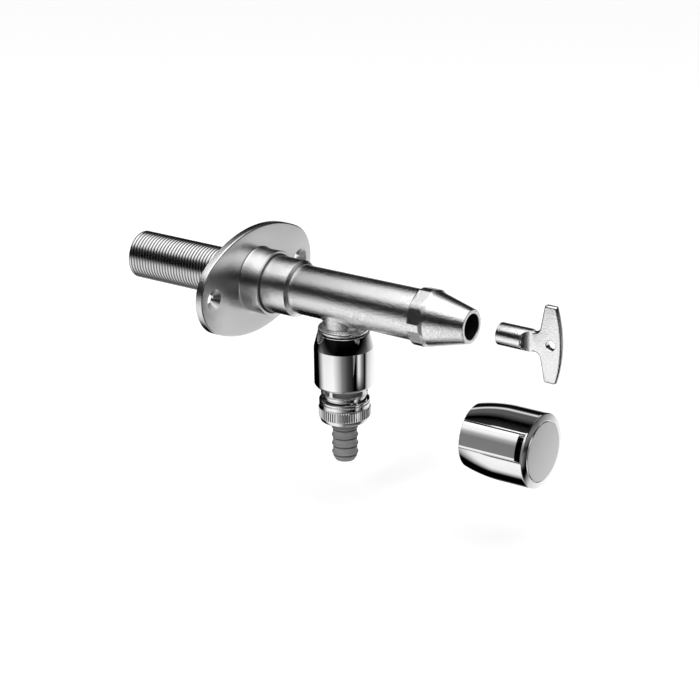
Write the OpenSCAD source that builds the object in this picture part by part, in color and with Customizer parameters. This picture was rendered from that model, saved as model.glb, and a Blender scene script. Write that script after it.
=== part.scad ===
// Frost free sillcock with vacuum breaker, hose union, loose key and loose knob.
// The wall plane is y = 0, the tap points along -Y and +Z is up.
// Along the main axis, "out" is the distance in front of the wall plane.
// Along the outlet branch, "drop" is the distance below the main axis.

/* [Wall flange] */
// Width of the oval plate
flange_w = 112; // [106:1:130]
// Height of the oval plate
flange_h = 66; // [62:1:76]
// Thickness of the plate
flange_t = 5; // [4:0.5:8]
// Radius of the two end arcs of the oval
flange_end_r = 25; // [22:0.5:29]
// Distance between the two wall screws
screw_spacing = 88; // [82:1:92]
// Bore for a wall screw
screw_hole_d = 6.5; // [5:0.5:7]
// Mouth of the countersink
countersink_d = 13; // [10:0.5:14]
// Height of the collar in front of the plate
collar_h = 13.6; // [10:0.2:18]
// Wall of the collar
collar_wall = 1.6; // [1.2:0.1:3]
// Gap between collar and body, filled by the dark seal at its mouth
collar_gap = 0.9; // [0.4:0.1:1.4]
// Width of the dark seal in the collar mouth
collar_seal_w = 1.6; // [1:0.1:2.4]

/* [Wall tube] */
// Length of tube behind the wall plane
tube_back = 84; // [76:1:400]
// Outer diameter over the ridges
tube_d = 29.3; // [28.6:0.1:29.8]
// Bore of the tube
tube_bore_d = 25; // [24:0.1:25.4]
// Pitch of the outer ridges
ridge_pitch = 2.2; // [1.8:0.1:3]
// Depth of the grooves between ridges
ridge_depth = 0.6; // [0.3:0.1:0.8]
// Length of tube screwed into the outlet body
tube_engage = 25; // [15:1:27]

/* [Inlet valve] */
// Length of the inlet body
inlet_len = 27; // [25:0.5:34]
// Major diameter of the inlet thread
inlet_thread_d = 20.96; // [18:0.02:21.2]
// Depth of the inlet thread
inlet_thread_len = 14; // [10:0.5:15]
// Bore of the valve seat
seat_d = 10; // [9:0.2:11]
// Thickness of the seat wall
seat_wall = 4; // [3.6:0.2:5]
// Height of the raised seat lip
seat_lip_h = 1.2; // [0.8:0.1:1.6]
// Width of the raised seat lip
seat_lip_w = 1.4; // [1:0.1:2]
// Wall of the valve chamber
chamber_wall = 2; // [1.6:0.1:2.4]
// Diameter of the valve washer
washer_d = 16; // [15.4:0.2:17]
// Thickness of the valve washer
washer_t = 3; // [2.4:0.2:4]
// Distance of the stem guide behind the wall plane
guide_back = 30; // [10:1:40]

/* [Outlet body] */
// Diameter of the rear ring
ring_d = 34.8; // [34:0.1:36]
// Front end of the rear ring, from the wall plane
ring_end = 38; // [34:0.5:44]
// Diameter of the barrel at the ring
body_d = 30; // [29.6:0.1:31]
// Diameter of the barrel at the nose nut
body_front_d = 30.8; // [30:0.1:31.4]
// Bore of the barrel
body_bore_d = 22; // [20:0.2:23]
// Distance of the branch axis from the wall plane
branch_out = 67.6; // [62:0.2:76]
// Front end of the barrel, from the wall plane
body_end = 123.7; // [118:0.1:135]
// Diameter of the branch neck
neck_d = 24.8; // [23:0.2:26]
// Diameter of the lip under the neck
lip_d = 30.8; // [28:0.2:31.4]
// Top of the lip below the main axis
lip_drop = 17.4; // [16.6:0.1:20]
// Height of the lip
lip_h = 2.8; // [2:0.1:4]
// Thread diameter of the branch spigot
spigot_d = 20.96; // [20:0.02:21.4]
// Length of the branch spigot
spigot_len = 12.6; // [10:0.2:13]
// Bore of the branch
branch_bore_d = 14; // [12:0.5:15]

/* [Bonnet nose] */
// Distance across the flats of the eight-sided nut
nut_flats = 34; // [33:0.2:36]
// Length of the nut flats
nut_len = 8.2; // [7:0.2:11]
// Turn of the nut about the main axis
nut_turn = 4.5; // [0:0.5:45]
// Length of the cone from nut to tip
cone_len = 24; // [22:0.5:32]
// Diameter of the cone at the nut
cone_d = 32.6; // [31:0.2:33]
// Diameter of the cone at its tip
tip_d = 20.6; // [19.4:0.2:24]
// Bore of the key hole
key_hole_d = 15.7; // [15:0.1:16.4]
// Diameter of the threaded tail
tail_thread_d = 26.44; // [26:0.02:26.6]
// Length of the threaded tail
tail_thread_len = 15.7; // [14:0.1:18]
// Diameter of the stem journal bore
journal_d = 10; // [9.6:0.1:10.8]
// Length of the stem journal bore
journal_len = 14.5; // [13.5:0.1:15]
// Bore of the lifting thread
lift_thread_d = 13.1; // [12.4:0.1:15]

/* [Stem] */
// Diameter of the stem rod
rod_d = 8; // [7:0.1:9]
// Drive square across flats
square_af = 6; // [5:0.1:6.4]
// Length of the drive square
square_len = 11.5; // [10:0.5:12]
// Length of the lifting thread on the stem
lift_thread_len = 11.5; // [9:0.1:12]
// Lift of the stem from closed to open
stem_travel = 5; // [4:0.1:5.2]

/* [Vacuum breaker] */
// Diameter of the sleeve
sleeve_d = 36; // [35:0.2:38]
// Diameter of the sleeve at its top
sleeve_top_d = 31.2; // [31:0.2:34]
// Height of the taper at the top of the sleeve
sleeve_taper_h = 9.4; // [6:0.2:12]
// Height of the straight part of the sleeve
sleeve_h = 23.3; // [20:0.1:28]
// Wall of the sleeve
sleeve_wall = 2.6; // [2.2:0.1:2.8]
// Height of the open vent cone
vent_h = 6.6; // [6:0.1:9]
// Height of the vent openings
window_h = 4.4; // [3:0.1:4.8]
// Number of ribs between the vent openings
rib_count = 4; // [3:1:8]
// Width of a rib, in degrees
rib_angle = 10; // [6:1:20]
// Turn of the first rib about the branch axis
rib_turn = 180; // [0:1:359]
// Diameter of the hose thread
hose_thread_d = 26.44; // [26:0.02:26.6]
// Pitch of the hose thread
hose_pitch = 1.814; // [1.5:0.002:2.4]
// Length of the hose thread
hose_thread_len = 9.7; // [8:0.1:12]
// Bore of the breaker chamber
chamber_d = 23.8; // [23:0.1:24]
// Bore of the check seat
check_seat_d = 12; // [10:0.2:13]
// Diameter of the poppet
poppet_d = 17; // [15.6:0.2:18]
// Opening stroke of the poppet
poppet_travel = 4; // [2:0.1:4.2]

/* [Hose union] */
// Diameter over the knurled band
union_d = 31.6; // [31.2:0.1:34]
// Diameter of the ringed top of the nut
union_top_d = 30.6; // [30:0.1:31]
// Height of the knurled band
knurl_h = 6.4; // [5:0.1:9]
// Outer diameter of the hose tail between ribs
tail_d = 14.7; // [13.6:0.1:15.2]
// Height of a rib above the tail
tail_rib = 0.62; // [0.4:0.02:0.8]
// Distance between ribs
tail_pitch = 5.5; // [4.5:0.1:7]
// Number of ribs
tail_ribs = 4; // [3:1:6]
// Bore of the hose tail
tail_bore_d = 10; // [8:0.2:10.6]

/* [Key] */
// Gap between nose and key as laid out
key_gap = 19.6; // [12:0.2:40]
// Diameter of the key shaft
shaft_d = 13.4; // [12.6:0.1:13.8]
// Length of the round shaft
shaft_len = 16; // [15:0.2:24]
// Length of the ramps from shaft to bow
ramp_len = 6.2; // [4:0.2:9]
// Height of the bow
bow_h = 47.2; // [40:0.2:60]
// Reach of the bow from its shoulder to its outer edge
bow_len = 14.9; // [13.5:0.1:18]
// Thickness of the bow
bow_t = 4; // [3:0.1:5]
// Bore of the hanging hole
hang_d = 5.8; // [4:0.1:6.6]

/* [Knob] */
// Length of the knob
knob_len = 46.3; // [44:0.1:56]
// Diameter of the knob at its rear
knob_rear_d = 37.7; // [37.4:0.1:40]
// Largest diameter of the knob
knob_d = 45; // [42:0.1:50]
// Diameter of the end disc
disc_d = 35.8; // [32:0.1:36.4]
// Width of a grip flute
flute_w = 16.5; // [12:0.5:20]
// Number of grip flutes
flutes = 3; // [3:1:4]
// Turn of the first flute
flute_turn = 157; // [0:1:359]
// Depth of the hollow that goes over the nose
hollow_depth = 25.5; // [25:0.1:28]
// Distance of the knob's rear from the wall plane as laid out
knob_out = 160.7; // [158:0.1:180]
// Distance of the knob's axis below the main axis as laid out
knob_drop = 67; // [60:0.5:100]

/* [Fits] */
// Radial gap of a shaft or thread in its bore
running_gap = 0.05; // [0.02:0.01:0.08]
// Gap between pieces that pass each other
free_gap = 0.3; // [0.2:0.05:0.4]

/* [Hidden] */
$fn = 96;
fine_fn = 240;
cord_fn = 32;
cut = 1;

// Wall flange
collar_r = ring_d / 2 + collar_gap + collar_wall;
collar_end = flange_t + collar_h;
collar_rim = 0.6;
oval_c = flange_w / 2 - flange_end_r;
oval_b = flange_h / 2 - flange_end_r;
oval_k = (oval_c * oval_c - oval_b * oval_b) / (2 * oval_b);
oval_r = flange_h / 2 + oval_k;
oval_x = oval_r * oval_c / (oval_r - flange_end_r);
tube_hole_r = tube_d / 2 + free_gap;

// Wall tube and inlet valve, with the tube's rear end as the inlet body's zero
tube_front = flange_t + tube_engage;
ridge_count = floor((tube_back + flange_t) / ridge_pitch);
inlet_r = tube_bore_d / 2 - running_gap;
chamber_r = inlet_r - chamber_wall;
seat_z = inlet_thread_len + seat_wall;
lip_z = seat_z + seat_lip_h;
inlet_seal_r = 0.8;
inlet_seal_z = inlet_thread_len + seat_wall / 2;
washer_z = lip_z + running_gap;
cup_lip = 1.2;
cup_r = washer_d / 2 + running_gap + cup_lip;
cup_floor = washer_z + washer_t;
cup_web = 2;
cup_hub_r = 6;
cup_hub_len = 6;
screw_r = 1.5;
screw_head_r = 3.4;
screw_head_h = 1.6;
screw_slot_w = 0.8;
screw_slot_d = 0.7;
rod_z = cup_floor + cup_web + running_gap;
guide_r = tube_bore_d / 2 - running_gap;
guide_rim = 1.6;
guide_hub = 2;
guide_len = 8;
guide_arm_w = 2.4;
guide_arms = 3;

// Outlet body
body_front_r = body_front_d / 2;
ring_chamfer = 0.8;
ring_round = 1.6;
step_groove = 0.5;
tail_start = body_end - tail_thread_len;
gasket_t = 1.5;
socket_end = tail_start - gasket_t;
lip_end = lip_drop + lip_h;
lip_round = lip_h / 2;
lip_turn = 30;
spigot_end = lip_end + spigot_len;

// Bonnet nose
nut_sides = 8;
nut_corner_turn = 15;
nut_round_r = nut_flats / 2 / cos(nut_corner_turn);
nut_chamfer = 0.7;
nut_shoulder = 2;
cone_start = body_end + nut_len + nut_shoulder;
nose_end = cone_start + cone_len;
tip_round = 0.5;
lift_clear = 0.8;
lift_lead = 2;
lift_start = tail_start + lift_lead;
journal_start = lift_start + lift_thread_len + stem_travel + lift_clear;
key_hole_start = journal_start + journal_len;

// Stem
stem_r = journal_d / 2 - running_gap;
stem_seal_r = 0.53;
seal_groove_w = 1.3;
seal_lead = 2.5;
seal_first = journal_start + seal_lead;
seal_step = 4;
square_root = 4;
square_start = key_hole_start - square_root;
square_end = square_start + square_len;
stem_tip_chamfer = 0.6;

// Vacuum breaker
sleeve_gap = 0.7;
sleeve_start = lip_end + sleeve_gap;
taper_end = sleeve_start + sleeve_taper_h;
sleeve_end = taper_end + sleeve_h;
sleeve_top_t = 2.5;
head_r = sleeve_d / 2 - sleeve_wall - running_gap;
head_start = sleeve_start + sleeve_top_t + free_gap;
branch_gasket_t = 1.2;
web_start = spigot_end + branch_gasket_t;
web_t = 3.3;
check_z = web_start + web_t;
vent_start = sleeve_end + free_gap;
vent_end = vent_start + vent_h;
vent_step = 0.5;
vent_top_r = sleeve_d / 2 - vent_step;
vent_foot = 0.8;
vent_bottom_r = hose_thread_d / 2 + vent_foot;
window_lead = 0.7;
window_z = vent_start + window_lead;
core_lead = 4;
core_start = window_z - core_lead;
core_foot = 1.4;
core_end = vent_end + core_foot;
core_web = 2.5;
core_hub_r = 4.5;
core_arms = 3;
core_arm_w = 2.4;
outlet_bore_r = 9;
thread_end = vent_end + hose_thread_len;
thread_depth = 0.9;
poppet_gap = 0.1;
poppet_t = 2.6;
poppet_seal_r = 0.9;
poppet_stem_r = 2.4;
poppet_stop_r = 3.6;
poppet_stop_z = core_start - poppet_travel - free_gap;
poppet_stem_len = core_start - check_z - poppet_t + core_web;
vent_ring_t = 1.6;
vent_ring_bore_r = 6.8;
vent_ring_z = core_start - running_gap - vent_ring_t;

// Hose union
thread_show = 3;
nut_top = vent_end + thread_show;
top_band = 1.4;
top_groove = 0.6;
top_groove_w = 0.7;
shoulder_h = 2.7;
knurl_start = nut_top + top_band + top_groove_w + shoulder_h;
knurl_end = knurl_start + knurl_h;
nut_foot_h = 2.5;
nut_end = knurl_end + nut_foot_h;
nut_foot_in = 1.3;
nut_end_r = union_d / 2 - nut_foot_in;
nut_bore_r = hose_thread_d / 2 + free_gap;
union_washer_t = 2.2;
washer_start = thread_end + running_gap;
tail_flange_start = washer_start + union_washer_t;
tail_flange_t = 2.2;
tail_flange_end = tail_flange_start + tail_flange_t;
nut_lip_start = tail_flange_end + free_gap;
tail_clear = 1;
nut_hole_r = tail_d / 2 + tail_rib + tail_clear;
tail_flange_r = nut_bore_r - free_gap;
rib_lead = 4.8;
first_rib = nut_end + rib_lead;
rib_half = 0.8;
tail_lead = 5;
tail_end = first_rib + (tail_ribs - 1) * tail_pitch + tail_lead;
tail_tip_h = 2.6;
tail_tip = 1.5;

// Key
key_start = nose_end + key_gap;
socket_af = square_af + 2 * free_gap;
socket_floor = 1;
socket_depth = shaft_len - socket_floor;
ramp_start = key_start + shaft_len;
ramp_end = ramp_start + ramp_len;
bow_neck_len = 4.1;
bow_start = ramp_end + bow_neck_len;
bow_end = bow_start + bow_len;
bow_corner_r = 1.6;
bow_edge_r = 75;
bow_tip_in = 3.4;
bow_neck = 6.2;
bow_fillet = 4;
hang_in = 7;
hang_out = bow_end - hang_in;
bow_lean = atan(bow_tip_in / (bow_h / 2 - bow_neck));
bow_tip_z = bow_h / 2 - bow_corner_r;
bow_in = bow_start + (bow_corner_r + (bow_tip_z - bow_neck) * sin(bow_lean)) / cos(bow_lean);
bow_edge_turn = asin(bow_tip_z / (bow_edge_r - bow_corner_r));
bow_out = bow_end - bow_edge_r + (bow_edge_r - bow_corner_r) * cos(bow_edge_turn);
bow_edge_z = bow_edge_r * sin(bow_edge_turn);
fillet_out = bow_start - bow_fillet * (1 - sin(bow_lean)) / cos(bow_lean);

// Knob
knob_rear_r = knob_rear_d / 2;
knob_r = knob_d / 2;
rim_len = 2.1;
rim_start = knob_len - rim_len;
flare_share = 0.52;
flare_len = flare_share * knob_len;
rear_round = 0.8;
lobe_step = 0.4;
lobe_r = knob_rear_r + lobe_step;
curve_steps = 12;
rim_turn = 15;
ramp_back = 7.8;
ramp_front = 2.4;
ramp_step = 1.2;
ramp_land = 0.5;
flute_root = 14;
ramp_front_r = knob_r - ramp_step;
disc_t = 2;
disc_gap = 0.1;
core_top = knob_len - (ramp_front + disc_t) / 2;
rim_flat = 0.4;
rim_in_r = disc_d / 2 + disc_gap + rim_flat;
hollow_r = cone_d / 2 + 2 * free_gap;
insert_r = shaft_d / 2;
insert_start = 9;
insert_back = 7;
insert_end = knob_len - insert_back;
insert_socket = 14;

// Lays a shape drawn along Z out from the wall
module outward() {
    rotate([90, 0, 0])
        children();
}

// Hangs a shape drawn along Z down from the main axis, on the branch axis
module downward() {
    translate([0, -branch_out, 0])
        rotate([180, 0, 0])
            children();
}

// Lays a shape drawn along Z at the place of the loose knob
module at_knob() {
    translate([0, -knob_out, -knob_drop])
        rotate([90, 0, 0])
            children();
}

// Turned piece from its half outline, as [radius, place] points
module turned(points) {
    rotate_extrude()
        polygon(points);
}

// Plain ring between two places
module ring(outer_r, inner_r, from, to) {
    turned([[inner_r, from], [outer_r, from], [outer_r, to], [inner_r, to]]);
}

// Round bar between two places
module bar(r, from, to) {
    translate([0, 0, from])
        cylinder(r = r, h = to - from);
}

// Round cord closed into a ring
module o_ring(middle_r, cord_r, place) {
    translate([0, 0, place])
        rotate_extrude()
            translate([middle_r, 0])
                circle(r = cord_r, $fn = cord_fn);
}

// Square bar or socket between two places
module square_bar(across, from, to) {
    translate([-across / 2, -across / 2, from])
        cube([across, across, to - from]);
}

// Spokes from a hub to a rim
module spokes(count, width, inner_r, outer_r, from, to) {
    for (i = [0 : count - 1])
        rotate([0, 0, i * 360 / count])
            translate([inner_r, -width / 2, from])
                cube([outer_r - inner_r, width, to - from]);
}

// Oval outline of two end arcs and two long arcs that meet smoothly
module oval() {
    for (side = [-1, 1])
        translate([side * oval_c, 0])
            circle(r = flange_end_r);
    intersection() {
        square([2 * oval_x, flange_h], center = true);
        translate([0, -oval_k])
            circle(r = oval_r, $fn = fine_fn);
        translate([0, oval_k])
            circle(r = oval_r, $fn = fine_fn);
    }
}

module screw_hole() {
    translate([0, 0, -cut])
        cylinder(d = screw_hole_d, h = flange_t + 2 * cut);
    translate([0, 0, flange_t - (countersink_d - screw_hole_d) / 2])
        cylinder(d1 = screw_hole_d, d2 = countersink_d, h = (countersink_d - screw_hole_d) / 2);
}

module wall_flange() {
    color("silver")
        outward()
            difference() {
                union() {
                    linear_extrude(flange_t)
                        oval();
                    bar(collar_r, 0, collar_end - collar_rim);
                    turned([[0, collar_end - collar_rim], [collar_r, collar_end - collar_rim],
                        [collar_r - collar_rim, collar_end], [0, collar_end]]);
                }
                bar(tube_hole_r, -cut, flange_t + cut);
                bar(collar_r - collar_wall, flange_t, collar_end + cut);
                for (side = [-1, 1])
                    translate([side * screw_spacing / 2, 0, 0])
                        screw_hole();
            }
}

module collar_seal() {
    color("dimgray")
        outward()
            ring(collar_r - collar_wall, ring_d / 2,
                collar_end - collar_rim - collar_seal_w, collar_end - collar_rim);
}

// The tube's outline runs along its ridges, then along the plain end in the body
module wall_tube() {
    crest = tube_d / 2;
    root = crest - ridge_depth;
    color("gainsboro")
        outward()
            turned(concat(
                [[tube_bore_d / 2, -tube_back], [root, -tube_back]],
                [for (i = [0 : ridge_count - 1], half = [0, 1])
                    [half == 0 ? crest : root, -tube_back + (i + (half + 1) / 2) * ridge_pitch]],
                [[crest, flange_t], [crest, tube_front], [tube_bore_d / 2, tube_front]]));
}

module inlet_body() {
    groove = 2 * inlet_seal_r + running_gap;
    color("goldenrod")
        outward()
            translate([0, 0, -tube_back])
                turned([[inlet_thread_d / 2, 0], [inlet_r, 0],
                    [inlet_r, inlet_seal_z - inlet_seal_r], [inlet_r - groove, inlet_seal_z - inlet_seal_r],
                    [inlet_r - groove, inlet_seal_z + inlet_seal_r], [inlet_r, inlet_seal_z + inlet_seal_r],
                    [inlet_r, inlet_len], [chamber_r, inlet_len], [chamber_r, seat_z],
                    [seat_d / 2 + seat_lip_w, seat_z], [seat_d / 2 + seat_lip_w, lip_z],
                    [seat_d / 2, lip_z], [seat_d / 2, inlet_thread_len],
                    [inlet_thread_d / 2, inlet_thread_len]]);
}

module inlet_seal() {
    color("black")
        outward()
            o_ring(inlet_r - inlet_seal_r, inlet_seal_r, inlet_seal_z - tube_back);
}

module stem_guide() {
    hub_bore = rod_d / 2 + free_gap;
    color("white")
        outward()
            translate([0, 0, -guide_back]) {
                ring(guide_r, guide_r - guide_rim, 0, guide_len);
                ring(hub_bore + guide_hub, hub_bore, 0, guide_len);
                spokes(guide_arms, guide_arm_w, hub_bore + guide_hub / 2, guide_r - guide_rim / 2,
                    0, guide_len);
            }
}

module valve_cup() {
    hub_start = cup_floor + cup_web;
    hub_end = hub_start + cup_hub_len;
    color("goldenrod")
        outward()
            translate([0, 0, -tube_back])
                difference() {
                    turned([[0, cup_floor - cup_lip], [cup_r, cup_floor - cup_lip], [cup_r, hub_start],
                        [cup_hub_r, hub_start], [cup_hub_r, hub_end], [0, hub_end]]);
                    bar(washer_d / 2 + running_gap, cup_floor - cup_lip - cut, cup_floor);
                    bar(rod_d / 2 + running_gap, hub_start, hub_end + cut);
                    bar(screw_r, cup_floor - cut, hub_start + cut);
                }
}

module valve_washer() {
    color("black")
        outward()
            translate([0, 0, -tube_back])
                ring(washer_d / 2, screw_r, washer_z, cup_floor);
}

module washer_screw() {
    color("goldenrod")
        outward()
            translate([0, 0, -tube_back])
                difference() {
                    union() {
                        bar(screw_head_r, washer_z - screw_head_h, washer_z);
                        bar(screw_r, washer_z - screw_head_h, cup_floor + cup_web);
                    }
                    translate([-screw_head_r - cut, -screw_slot_w / 2, washer_z - screw_head_h - cut])
                        cube([2 * (screw_head_r + cut), screw_slot_w, screw_slot_d + cut]);
                }
}

// Barrel outline with the stepped rear ring
module barrel() {
    turned([[0, flange_t], [ring_d / 2 - ring_chamfer, flange_t], [ring_d / 2, flange_t + ring_chamfer],
        [ring_d / 2, ring_end - ring_round], [ring_d / 2 - ring_round / 3, ring_end - ring_round / 3],
        [body_d / 2 + step_groove, ring_end], [body_d / 2 - step_groove, ring_end + step_groove / 2],
        [body_d / 2, ring_end + 2 * step_groove], [body_front_r, body_end], [0, body_end]]);
}

// Branch outline with its lip and threaded spigot
module branch() {
    neck_r = neck_d / 2;
    lip_r = lip_d / 2;
    turned(concat(
        [[0, 0], [neck_r, 0], [neck_r, lip_drop]],
        [for (a = [-90 : lip_turn : 90])
            [lip_r - lip_round * (1 - cos(a)), lip_drop + lip_round * (1 + sin(a))]],
        [[spigot_d / 2, lip_end], [spigot_d / 2, spigot_end], [0, spigot_end]]));
}

module outlet_body() {
    color("lightgray")
        difference() {
            union() {
                outward()
                    barrel();
                downward()
                    branch();
            }
            outward() {
                bar(tube_d / 2 + running_gap, flange_t - cut, tube_front);
                bar(body_bore_d / 2, tube_front - cut, socket_end + cut);
                bar(tail_thread_d / 2 + running_gap, socket_end, body_end + cut);
            }
            downward()
                bar(branch_bore_d / 2, 0, spigot_end + cut);
        }
}

// What is milled off the turned blank to leave the eight flats
module nut_flat_cut() {
    difference() {
        bar(nut_round_r + cut, body_end - cut, cone_start + cut);
        rotate([0, 0, nut_turn])
            translate([0, 0, body_end - 2 * cut])
                cylinder(r = nut_flats / 2 / cos(180 / nut_sides), h = nut_len + nut_shoulder + 4 * cut,
                    $fn = nut_sides);
    }
}

// Turned blank of tail, nut and cone, with its flats and its stepped bore
module bonnet_nose() {
    color("lightgray")
        outward()
            difference() {
                turned([[0, tail_start], [tail_thread_d / 2, tail_start], [tail_thread_d / 2, body_end],
                    [nut_round_r - nut_chamfer, body_end], [nut_round_r, body_end + nut_chamfer],
                    [nut_round_r, body_end + nut_len], [cone_d / 2, cone_start],
                    [tip_d / 2, nose_end - tip_round], [tip_d / 2 - tip_round, nose_end], [0, nose_end]]);
                nut_flat_cut();
                bar(lift_thread_d / 2, tail_start - cut, journal_start);
                bar(journal_d / 2, journal_start - cut, key_hole_start + cut);
                bar(key_hole_d / 2, key_hole_start, nose_end + cut);
            }
}

module bonnet_seal() {
    color("black")
        outward()
            ring(tail_thread_d / 2, body_bore_d / 2 - 2 * gasket_t, socket_end, tail_start);
}

module stem() {
    thread_r = lift_thread_d / 2 - running_gap;
    groove_r = stem_r - 2 * stem_seal_r;
    color("goldenrod")
        outward()
            difference() {
                union() {
                    bar(rod_d / 2, rod_z - tube_back, lift_start + cut);
                    bar(thread_r, lift_start, lift_start + lift_thread_len);
                    bar(stem_r, lift_start, square_start);
                    intersection() {
                        square_bar(square_af, square_start - cut, square_end);
                        turned([[0, square_start - cut], [square_af, square_start - cut],
                            [square_af, square_end - square_af / 2 - stem_tip_chamfer],
                            [square_af / 2 - stem_tip_chamfer, square_end], [0, square_end]]);
                    }
                }
                for (i = [0, 1])
                    ring(stem_r + cut, groove_r, seal_first + i * seal_step - seal_groove_w / 2,
                        seal_first + i * seal_step + seal_groove_w / 2);
            }
}

module stem_seals() {
    color("black")
        outward()
            for (i = [0, 1])
                o_ring(stem_r - stem_seal_r, stem_seal_r, seal_first + i * seal_step);
}

module breaker_sleeve() {
    bore_r = head_r + running_gap;
    top_r = sleeve_top_d / 2;
    color("white")
        downward()
            turned([[spigot_d / 2 + free_gap, sleeve_start], [top_r, sleeve_start],
                [sleeve_d / 2, taper_end], [sleeve_d / 2, sleeve_end], [bore_r, sleeve_end],
                [bore_r, taper_end], [top_r - sleeve_wall / 2, sleeve_start + sleeve_top_t],
                [spigot_d / 2 + free_gap, sleeve_start + sleeve_top_t]]);
}

// Threaded outline of the lower end, ridge by ridge
function hose_thread() = [for (i = [0 : floor(hose_thread_len / hose_pitch) - 1], half = [0, 1])
    [hose_thread_d / 2 - (half == 0 ? 0 : thread_depth), vent_end + (i + (half + 1) / 2) * hose_pitch]];

module vent_window() {
    rotate_extrude(angle = 360 / rib_count - rib_angle)
        translate([chamber_d / 2 - cut, window_z])
            square([sleeve_d / 2, window_h]);
}

module breaker_body() {
    top_r = sleeve_top_d / 2 - sleeve_wall / 2 - running_gap;
    color("whitesmoke")
        downward()
            difference() {
                turned(concat(
                    [[outlet_bore_r, core_end], [chamber_d / 2, core_end], [chamber_d / 2, check_z],
                        [check_seat_d / 2, check_z], [check_seat_d / 2, web_start],
                        [spigot_d / 2 + running_gap, web_start], [spigot_d / 2 + running_gap, head_start],
                        [top_r, head_start], [head_r, taper_end], [head_r, vent_start],
                        [vent_top_r, vent_start], [vent_bottom_r, vent_end]],
                    [[hose_thread_d / 2 - thread_depth, vent_end]],
                    hose_thread(),
                    [[hose_thread_d / 2 - thread_depth, thread_end], [outlet_bore_r, thread_end]]));
                for (i = [0 : rib_count - 1])
                    rotate([0, 0, rib_turn + rib_angle / 2 + i * 360 / rib_count])
                        vent_window();
            }
}

module breaker_core() {
    core_r = chamber_d / 2 - running_gap;
    hub_bore = poppet_stem_r + free_gap;
    color("dimgray")
        downward() {
            ring(core_r, outlet_bore_r, core_start, core_end);
            ring(core_hub_r, hub_bore, core_start, core_start + core_web);
            spokes(core_arms, core_arm_w, core_hub_r - free_gap, outlet_bore_r + free_gap,
                core_start, core_start + core_web);
        }
}

module branch_seal() {
    color("black")
        downward()
            ring(spigot_d / 2, branch_bore_d / 2, spigot_end, web_start);
}

// Poppet disc with a groove for its ring, a stop that ends its stroke and a guide stem
module check_poppet() {
    top = check_z + poppet_gap;
    ring_z = top + poppet_seal_r;
    ring_r = poppet_d / 2 - poppet_seal_r;
    color("white")
        downward()
            turned([[0, top], [ring_r, top], [ring_r, ring_z + poppet_seal_r],
                [poppet_d / 2, ring_z + poppet_seal_r], [poppet_d / 2, top + poppet_t],
                [poppet_stop_r, top + poppet_t], [poppet_stop_r, poppet_stop_z],
                [poppet_stem_r, poppet_stop_z], [poppet_stem_r, top + poppet_t + poppet_stem_len],
                [0, top + poppet_t + poppet_stem_len]]);
}

module poppet_seal() {
    color("black")
        downward()
            o_ring(poppet_d / 2, poppet_seal_r, check_z + poppet_gap + poppet_seal_r);
}

module vent_ring() {
    color("black")
        downward()
            ring(chamber_d / 2 - free_gap, vent_ring_bore_r, vent_ring_z, vent_ring_z + vent_ring_t);
}

module union_nut() {
    top_r = union_top_d / 2;
    knurl_r = union_d / 2;
    band_end = nut_top + top_band;
    color("silver")
        downward()
            turned([[nut_bore_r, nut_top], [top_r, nut_top], [top_r, band_end],
                [top_r - top_groove, band_end + top_groove_w / 2], [top_r, band_end + top_groove_w],
                [knurl_r, knurl_start], [knurl_r, knurl_end], [nut_end_r, nut_end],
                [nut_hole_r, nut_end], [nut_hole_r, nut_lip_start], [nut_bore_r, nut_lip_start]]);
}

module union_washer() {
    color("black")
        downward()
            ring(tail_flange_r, tail_bore_d / 2, washer_start, tail_flange_start);
}

module hose_tail() {
    tail_r = tail_d / 2;
    color("gray")
        downward()
            turned(concat(
                [[tail_bore_d / 2, tail_flange_start], [tail_flange_r, tail_flange_start],
                    [tail_flange_r, tail_flange_end], [tail_r, tail_flange_end]],
                [for (i = [0 : tail_ribs - 1], p = [[0, -rib_half], [tail_rib, -rib_half / 2],
                    [tail_rib, rib_half / 2], [0, rib_half]])
                    [tail_r + p[0], first_rib + i * tail_pitch + p[1]]],
                [[tail_r, tail_end - tail_tip_h], [tail_r - tail_tip / 3, tail_end - tail_tip_h / 3],
                    [tail_r - tail_tip, tail_end], [tail_bore_d / 2, tail_end]]));
}

// Straight edges of the upper half of the bow, as [out, height] points
function bow_half() = [[ramp_start, bow_neck], [bow_start, bow_neck],
    [bow_in - bow_corner_r * cos(bow_lean), bow_tip_z + bow_corner_r * sin(bow_lean)],
    [bow_in, bow_h / 2], [bow_out, bow_h / 2],
    [bow_end - bow_edge_r + bow_edge_r * cos(bow_edge_turn), bow_edge_z],
    [bow_end + cut, bow_edge_z]];

// Two rounded corners of the tip and the fillet at the neck
module bow_side() {
    translate([bow_in, bow_tip_z])
        circle(r = bow_corner_r);
    translate([bow_out, bow_tip_z])
        circle(r = bow_corner_r);
    difference() {
        polygon([[fillet_out, bow_neck], [bow_start, bow_neck],
            [fillet_out + bow_fillet * cos(bow_lean), bow_neck + bow_fillet * (1 - sin(bow_lean))]]);
        translate([fillet_out, bow_neck + bow_fillet])
            circle(r = bow_fillet);
    }
}

// Flat outline of the bow with its curved outer edge
module bow_outline() {
    half = bow_half();
    difference() {
        union() {
            intersection() {
                translate([bow_end - bow_edge_r, 0])
                    circle(r = bow_edge_r, $fn = fine_fn);
                polygon(concat(half, [for (i = [len(half) - 1 : -1 : 0]) [half[i][0], -half[i][1]]]));
            }
            bow_side();
            mirror([0, 1])
                bow_side();
        }
        translate([hang_out, 0])
            circle(d = hang_d);
    }
}

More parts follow.
